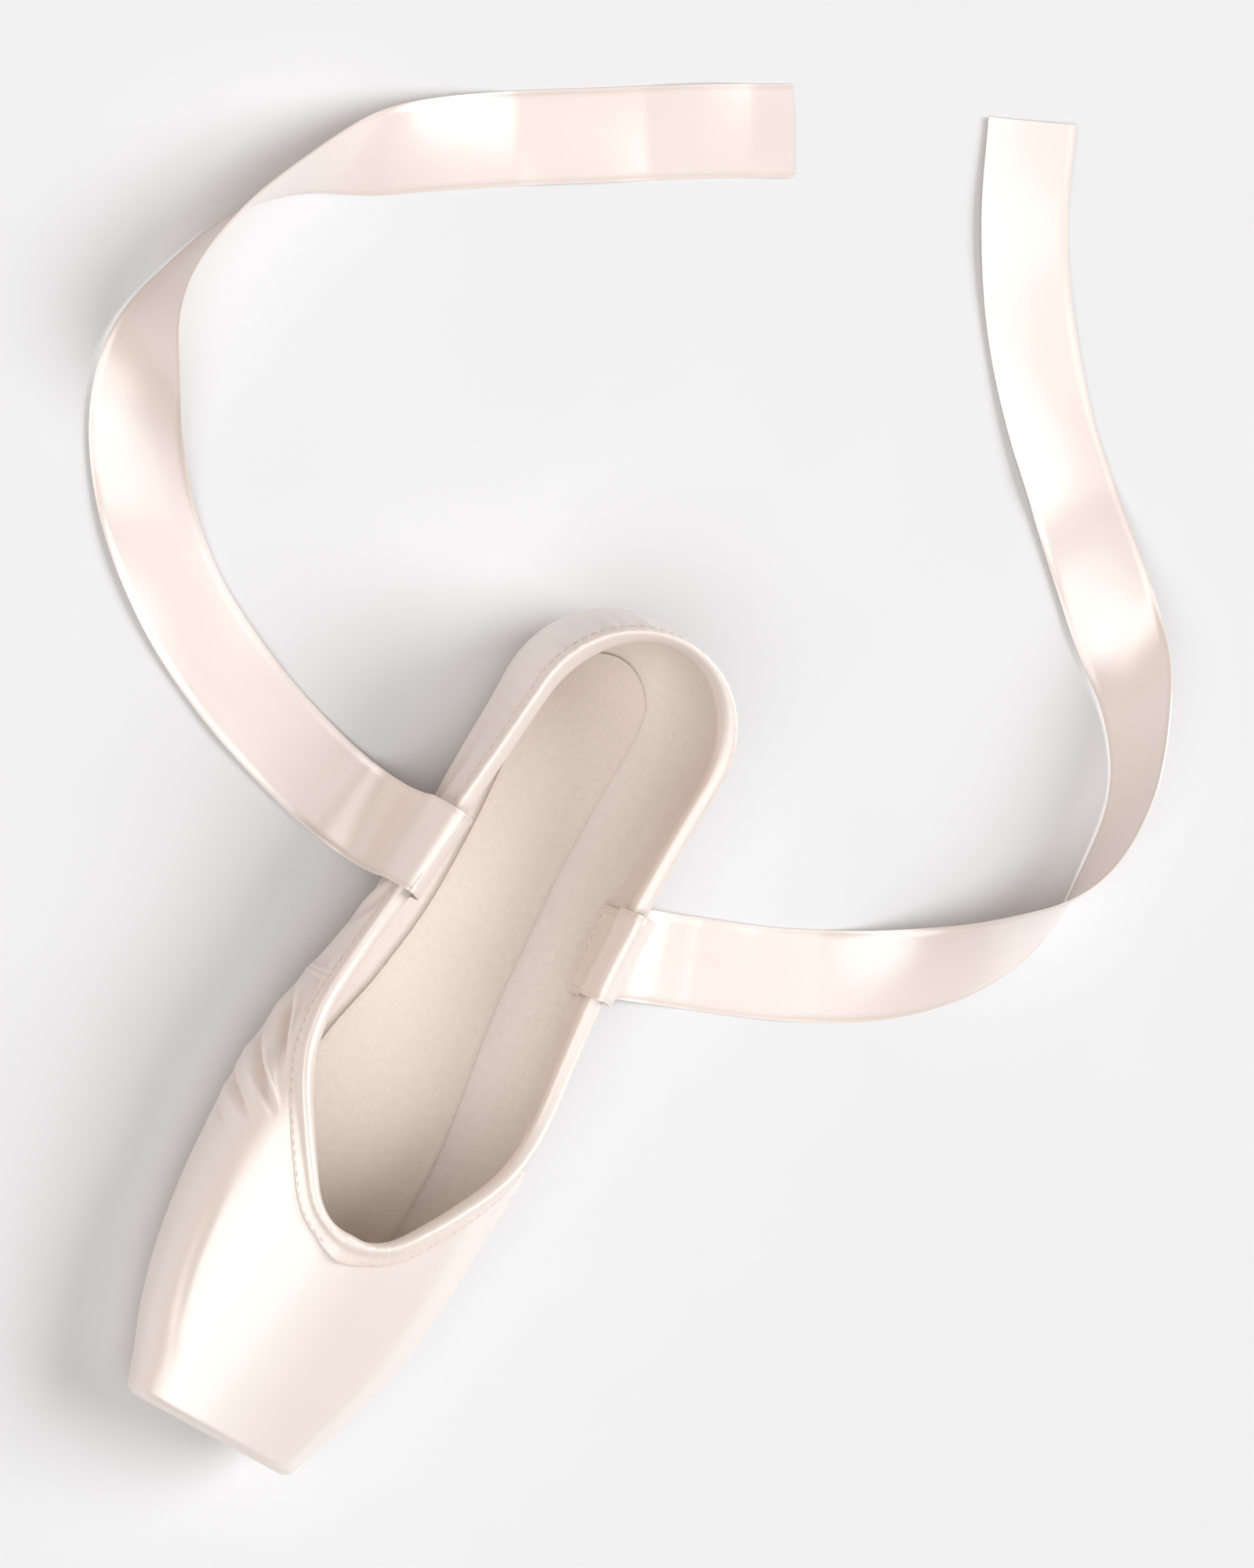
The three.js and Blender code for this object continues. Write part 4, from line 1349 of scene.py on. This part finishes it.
def ribbon_frame(route):
    """Middle line of a ribbon with the directions of its width and of its face."""
    where = np.linspace(0, len(route) - 1, RIBBON_STEPS)
    middle = spline(route[:, :3], where, even=False)
    heading, rise = np.radians(spline(route[:, 3:], where, even=True)).T
    level = np.cos(rise)
    width = np.stack((np.cos(heading) * level, np.sin(heading) * level, np.sin(rise)), -1)
    tangent = unit(np.gradient(middle, axis=0))
    width = unit(width - tangent * (width * tangent).sum(1, keepdims=True))
    face = np.cross(width, tangent)
    lowest = RIBBON_WIDTH / 2 * np.abs(width[:, 2]) + ROUTE_CLEAR
    middle[:, 2] = np.maximum(middle[:, 2], lowest)
    return middle, width, face


def ribbon_piece(name, route):
    """One ribbon, with a slight curl and waves where it lies on the floor, its middle line and length."""
    middle, width, face = ribbon_frame(route)
    across = RIBBON_ACROSS
    run = lengths_along(middle)[:, None]
    twist = 0.35 * np.sin(run / 9.0) * across
    swell = 0.3 * np.sin(run / 15.0 + 1) * (1 - across ** 2)
    bow = smooth(run, *RIBBON_LOOSE) * (twist + swell + RIBBON_CURL * across ** 2)
    selvedge = SELVEDGE_RISE * (np.abs(across) > SELVEDGE_INSIDE)
    points = middle[:, None] + width[:, None] * (across * RIBBON_WIDTH / 2)[None, :, None]
    points = points + face[:, None] * (bow + selvedge)[..., None]
    points[..., 2] += np.maximum(0, CLOTH_CLEAR - points[..., 2].min(axis=1, keepdims=True))
    cloth = np.stack(np.broadcast_arrays((across + 1) * RIBBON_WIDTH / 2, run), -1)
    piece = grid_piece(name, points, cloth)
    thicken(piece, bpy.context.scene.shoe_sizes.ribbon_thickness / MM, 0.0)
    return piece, middle, float(run[-1, 0])


def sewn_lines(route):
    """Lines of the stitches that hold a ribbon's end inside the quarter, round a box."""
    middle, width, face = ribbon_frame(route)
    inward = face * -np.sign(route[0, 0])
    run = lengths_along(middle)
    inside = np.flatnonzero((run > SEWN_PART[0]) & (run < SEWN_PART[1]))
    lift = middle + inward * SEWN_LIFT
    out = RIBBON_WIDTH / 2 - SEWN_INSET
    lines = [(lift[inside] + width[inside] * side * out, inward[inside]) for side in SIDES]
    across = np.linspace(-out, out, 20)[:, None]
    for row in inside[[0, -1]]:
        lines.append((lift[row] + width[row] * across, np.tile(inward[row], (len(across), 1))))
    return lines


class SHOE_OT_ribbons(bpy.types.Operator):
    """Model the two satin ribbons, from inside the quarters over the collar to the floor"""

    bl_idname = "shoe.ribbons"
    bl_label = "Ribbons"

    def execute(self, context):
        colours = context.scene.shoe_colours
        satin = material_for(
            "ribbon satin", satin_material, colours.ribbon, colours.satin_shade, gloss=0.34, selvedge=True)
        for node, route in (("ribbon_left", ROUTE_LEFT), ("ribbon_right", ROUTE_RIGHT)):
            piece, middle, length = ribbon_piece(f"satin_{node}", route)
            finish_piece(piece, "ribbon_satin", node, material=satin)
        lines = sewn_lines(ROUTE_LEFT) + sewn_lines(ROUTE_RIGHT)
        stitch_rows("ribbon_stitches", "ribbon_satin", lines, radius=0.17)
        return {"FINISHED"}


# Stage

WHITE = (1.0, 1.0, 1.0)
WARM_ROOM = (1.0, 0.90, 0.82)
PALE_BACKDROP = (1.0, 0.985, 0.965)
ROOM_STRENGTH = 0.20
BACKDROP_STRENGTH = 0.85
FLOOR_SIZE = 12
# Lamps: name, direction from the shoe, spread in degrees, strength, colour, and whether they only add gloss
LAMPS = (
    ("key", (0.62, 0.42, 0.66), 40, 2.2, (0.985, 0.99, 1.0), False),
    ("side panel", (-0.66, -0.33, 0.67), 40, 0.7, WHITE, True),
    ("wing panel", (-0.86, 0.04, 0.50), 34, 0.5, WHITE, True),
    ("top panel", (-0.20, -0.34, 0.92), 52, 1.4, (0.98, 0.99, 1.0), False),
    ("warm fill", (-0.92, -0.25, 0.30), 60, 0.4, (1.0, 0.74, 0.56), False),
)


def add_camera():
    """Camera that looks at the shoe from its fitted place."""
    tilt, pitch, roll = (math.radians(a) for a in (CAMERA_TILT, CAMERA_PITCH, CAMERA_ROLL))
    across = math.cos(pitch)
    view = Vector((-math.sin(tilt) * across, -math.sin(pitch), math.cos(tilt) * across))
    along = Vector((0, 1, 0))
    up = (along - view * along.dot(view)).normalized()
    right = up.cross(view)
    screen_right = right * math.cos(roll) + up * math.sin(roll)
    screen_up = up * math.cos(roll) - right * math.sin(roll)
    aim = TOE_POINT + screen_right * TOE_TO_CENTRE[0] + screen_up * TOE_TO_CENTRE[1]
    deselect()
    bpy.ops.object.camera_add()
    camera = bpy.context.object
    turn = Matrix((screen_right, screen_up, view)).transposed().to_4x4()
    camera.matrix_world = Matrix.Translation(aim + view * CAMERA_DISTANCE) @ turn
    camera.data.lens = CAMERA_LENS
    camera.data.clip_end = 50
    bpy.context.scene.camera = camera


def add_floor():
    """Pale floor that the shoe stands on."""
    deselect()
    bpy.ops.mesh.primitive_plane_add(size=FLOOR_SIZE)
    floor = bpy.context.object
    floor.name = "studio_floor"
    colour = bpy.context.scene.shoe_colours.floor
    floor.data.materials.append(material_for("pale floor", floor_material, colour))


def add_lamp(name, towards, spread, strength, colour, gloss_only):
    """Wide, distant lamp in a direction from the shoe."""
    bpy.ops.object.light_add(type="SUN", location=towards)
    lamp = bpy.context.object
    lamp.name = name
    lamp.data.energy = strength
    lamp.data.angle = math.radians(spread)
    lamp.data.color = colour
    lamp.visible_diffuse = not gloss_only
    lamp.rotation_euler = Vector(towards).to_track_quat("Z", "Y").to_euler()


def studio_world():
    """Dim light from all round, behind a backdrop as pale as the floor."""
    world = bpy.data.worlds.new("studio")
    world.use_nodes = True
    tree = world.node_tree
    seen = add_node(tree, "ShaderNodeLightPath").outputs["Is Camera Ray"]
    light = tree.nodes["Background"]
    strength = map_range(tree, seen, 0.0, 1.0, ROOM_STRENGTH, BACKDROP_STRENGTH)
    tree.links.new(blend_colours(tree, seen, WARM_ROOM, PALE_BACKDROP), light.inputs["Color"])
    tree.links.new(strength, light.inputs["Strength"])
    return world


class SHOE_OT_stage(bpy.types.Operator):
    """Set the camera, the floor and the soft studio light"""

    bl_idname = "shoe.stage"
    bl_label = "Stage"

    def execute(self, context):
        add_camera()
        add_floor()
        for lamp in LAMPS:
            add_lamp(*lamp)
        context.scene.world = studio_world()
        context.scene.view_settings.view_transform = "Standard"
        return {"FINISHED"}


class SHOE_PT_panel(bpy.types.Panel):
    """Sizes, colours and pieces of the pointe shoe"""

    bl_idname = "SHOE_PT_panel"
    bl_label = "Pointe shoe"
    bl_space_type = "VIEW_3D"
    bl_region_type = "UI"
    bl_category = "Pointe shoe"

    def draw(self, context):
        for group_name in ("shoe_sizes", "shoe_colours"):
            settings = getattr(context.scene, group_name)
            for name in settings.__annotations__:
                self.layout.prop(settings, name)
        for operator in OPERATORS:
            self.layout.operator(operator.bl_idname)


OPERATORS = (
    SHOE_OT_stage,
    SHOE_OT_ribbons,
    SHOE_OT_upper,
    SHOE_OT_binding,
    SHOE_OT_seams,
    SHOE_OT_outsole,
    SHOE_OT_insole,
)
CLASSES = (ShoeSizes, ShoeColours, *OPERATORS, SHOE_PT_panel)


def register():
    """Registers the classes and puts the settings on the scene."""
    for item in CLASSES:
        bpy.utils.register_class(item)
    bpy.types.Scene.shoe_sizes = bpy.props.PointerProperty(type=ShoeSizes)
    bpy.types.Scene.shoe_colours = bpy.props.PointerProperty(type=ShoeColours)


def unregister():
    """Takes the settings off the scene and the classes out again."""
    del bpy.types.Scene.shoe_colours
    del bpy.types.Scene.shoe_sizes
    for item in reversed(CLASSES):
        bpy.utils.unregister_class(item)


def main():
    """Models the shoe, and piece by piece."""
    register()
    bpy.ops.shoe.stage()
    bpy.ops.shoe.ribbons()
    bpy.ops.shoe.upper()
    bpy.ops.shoe.binding()
    bpy.ops.shoe.seams()
    bpy.ops.shoe.outsole()
    bpy.ops.shoe.insole()


if __name__ == "__main__":
    main()
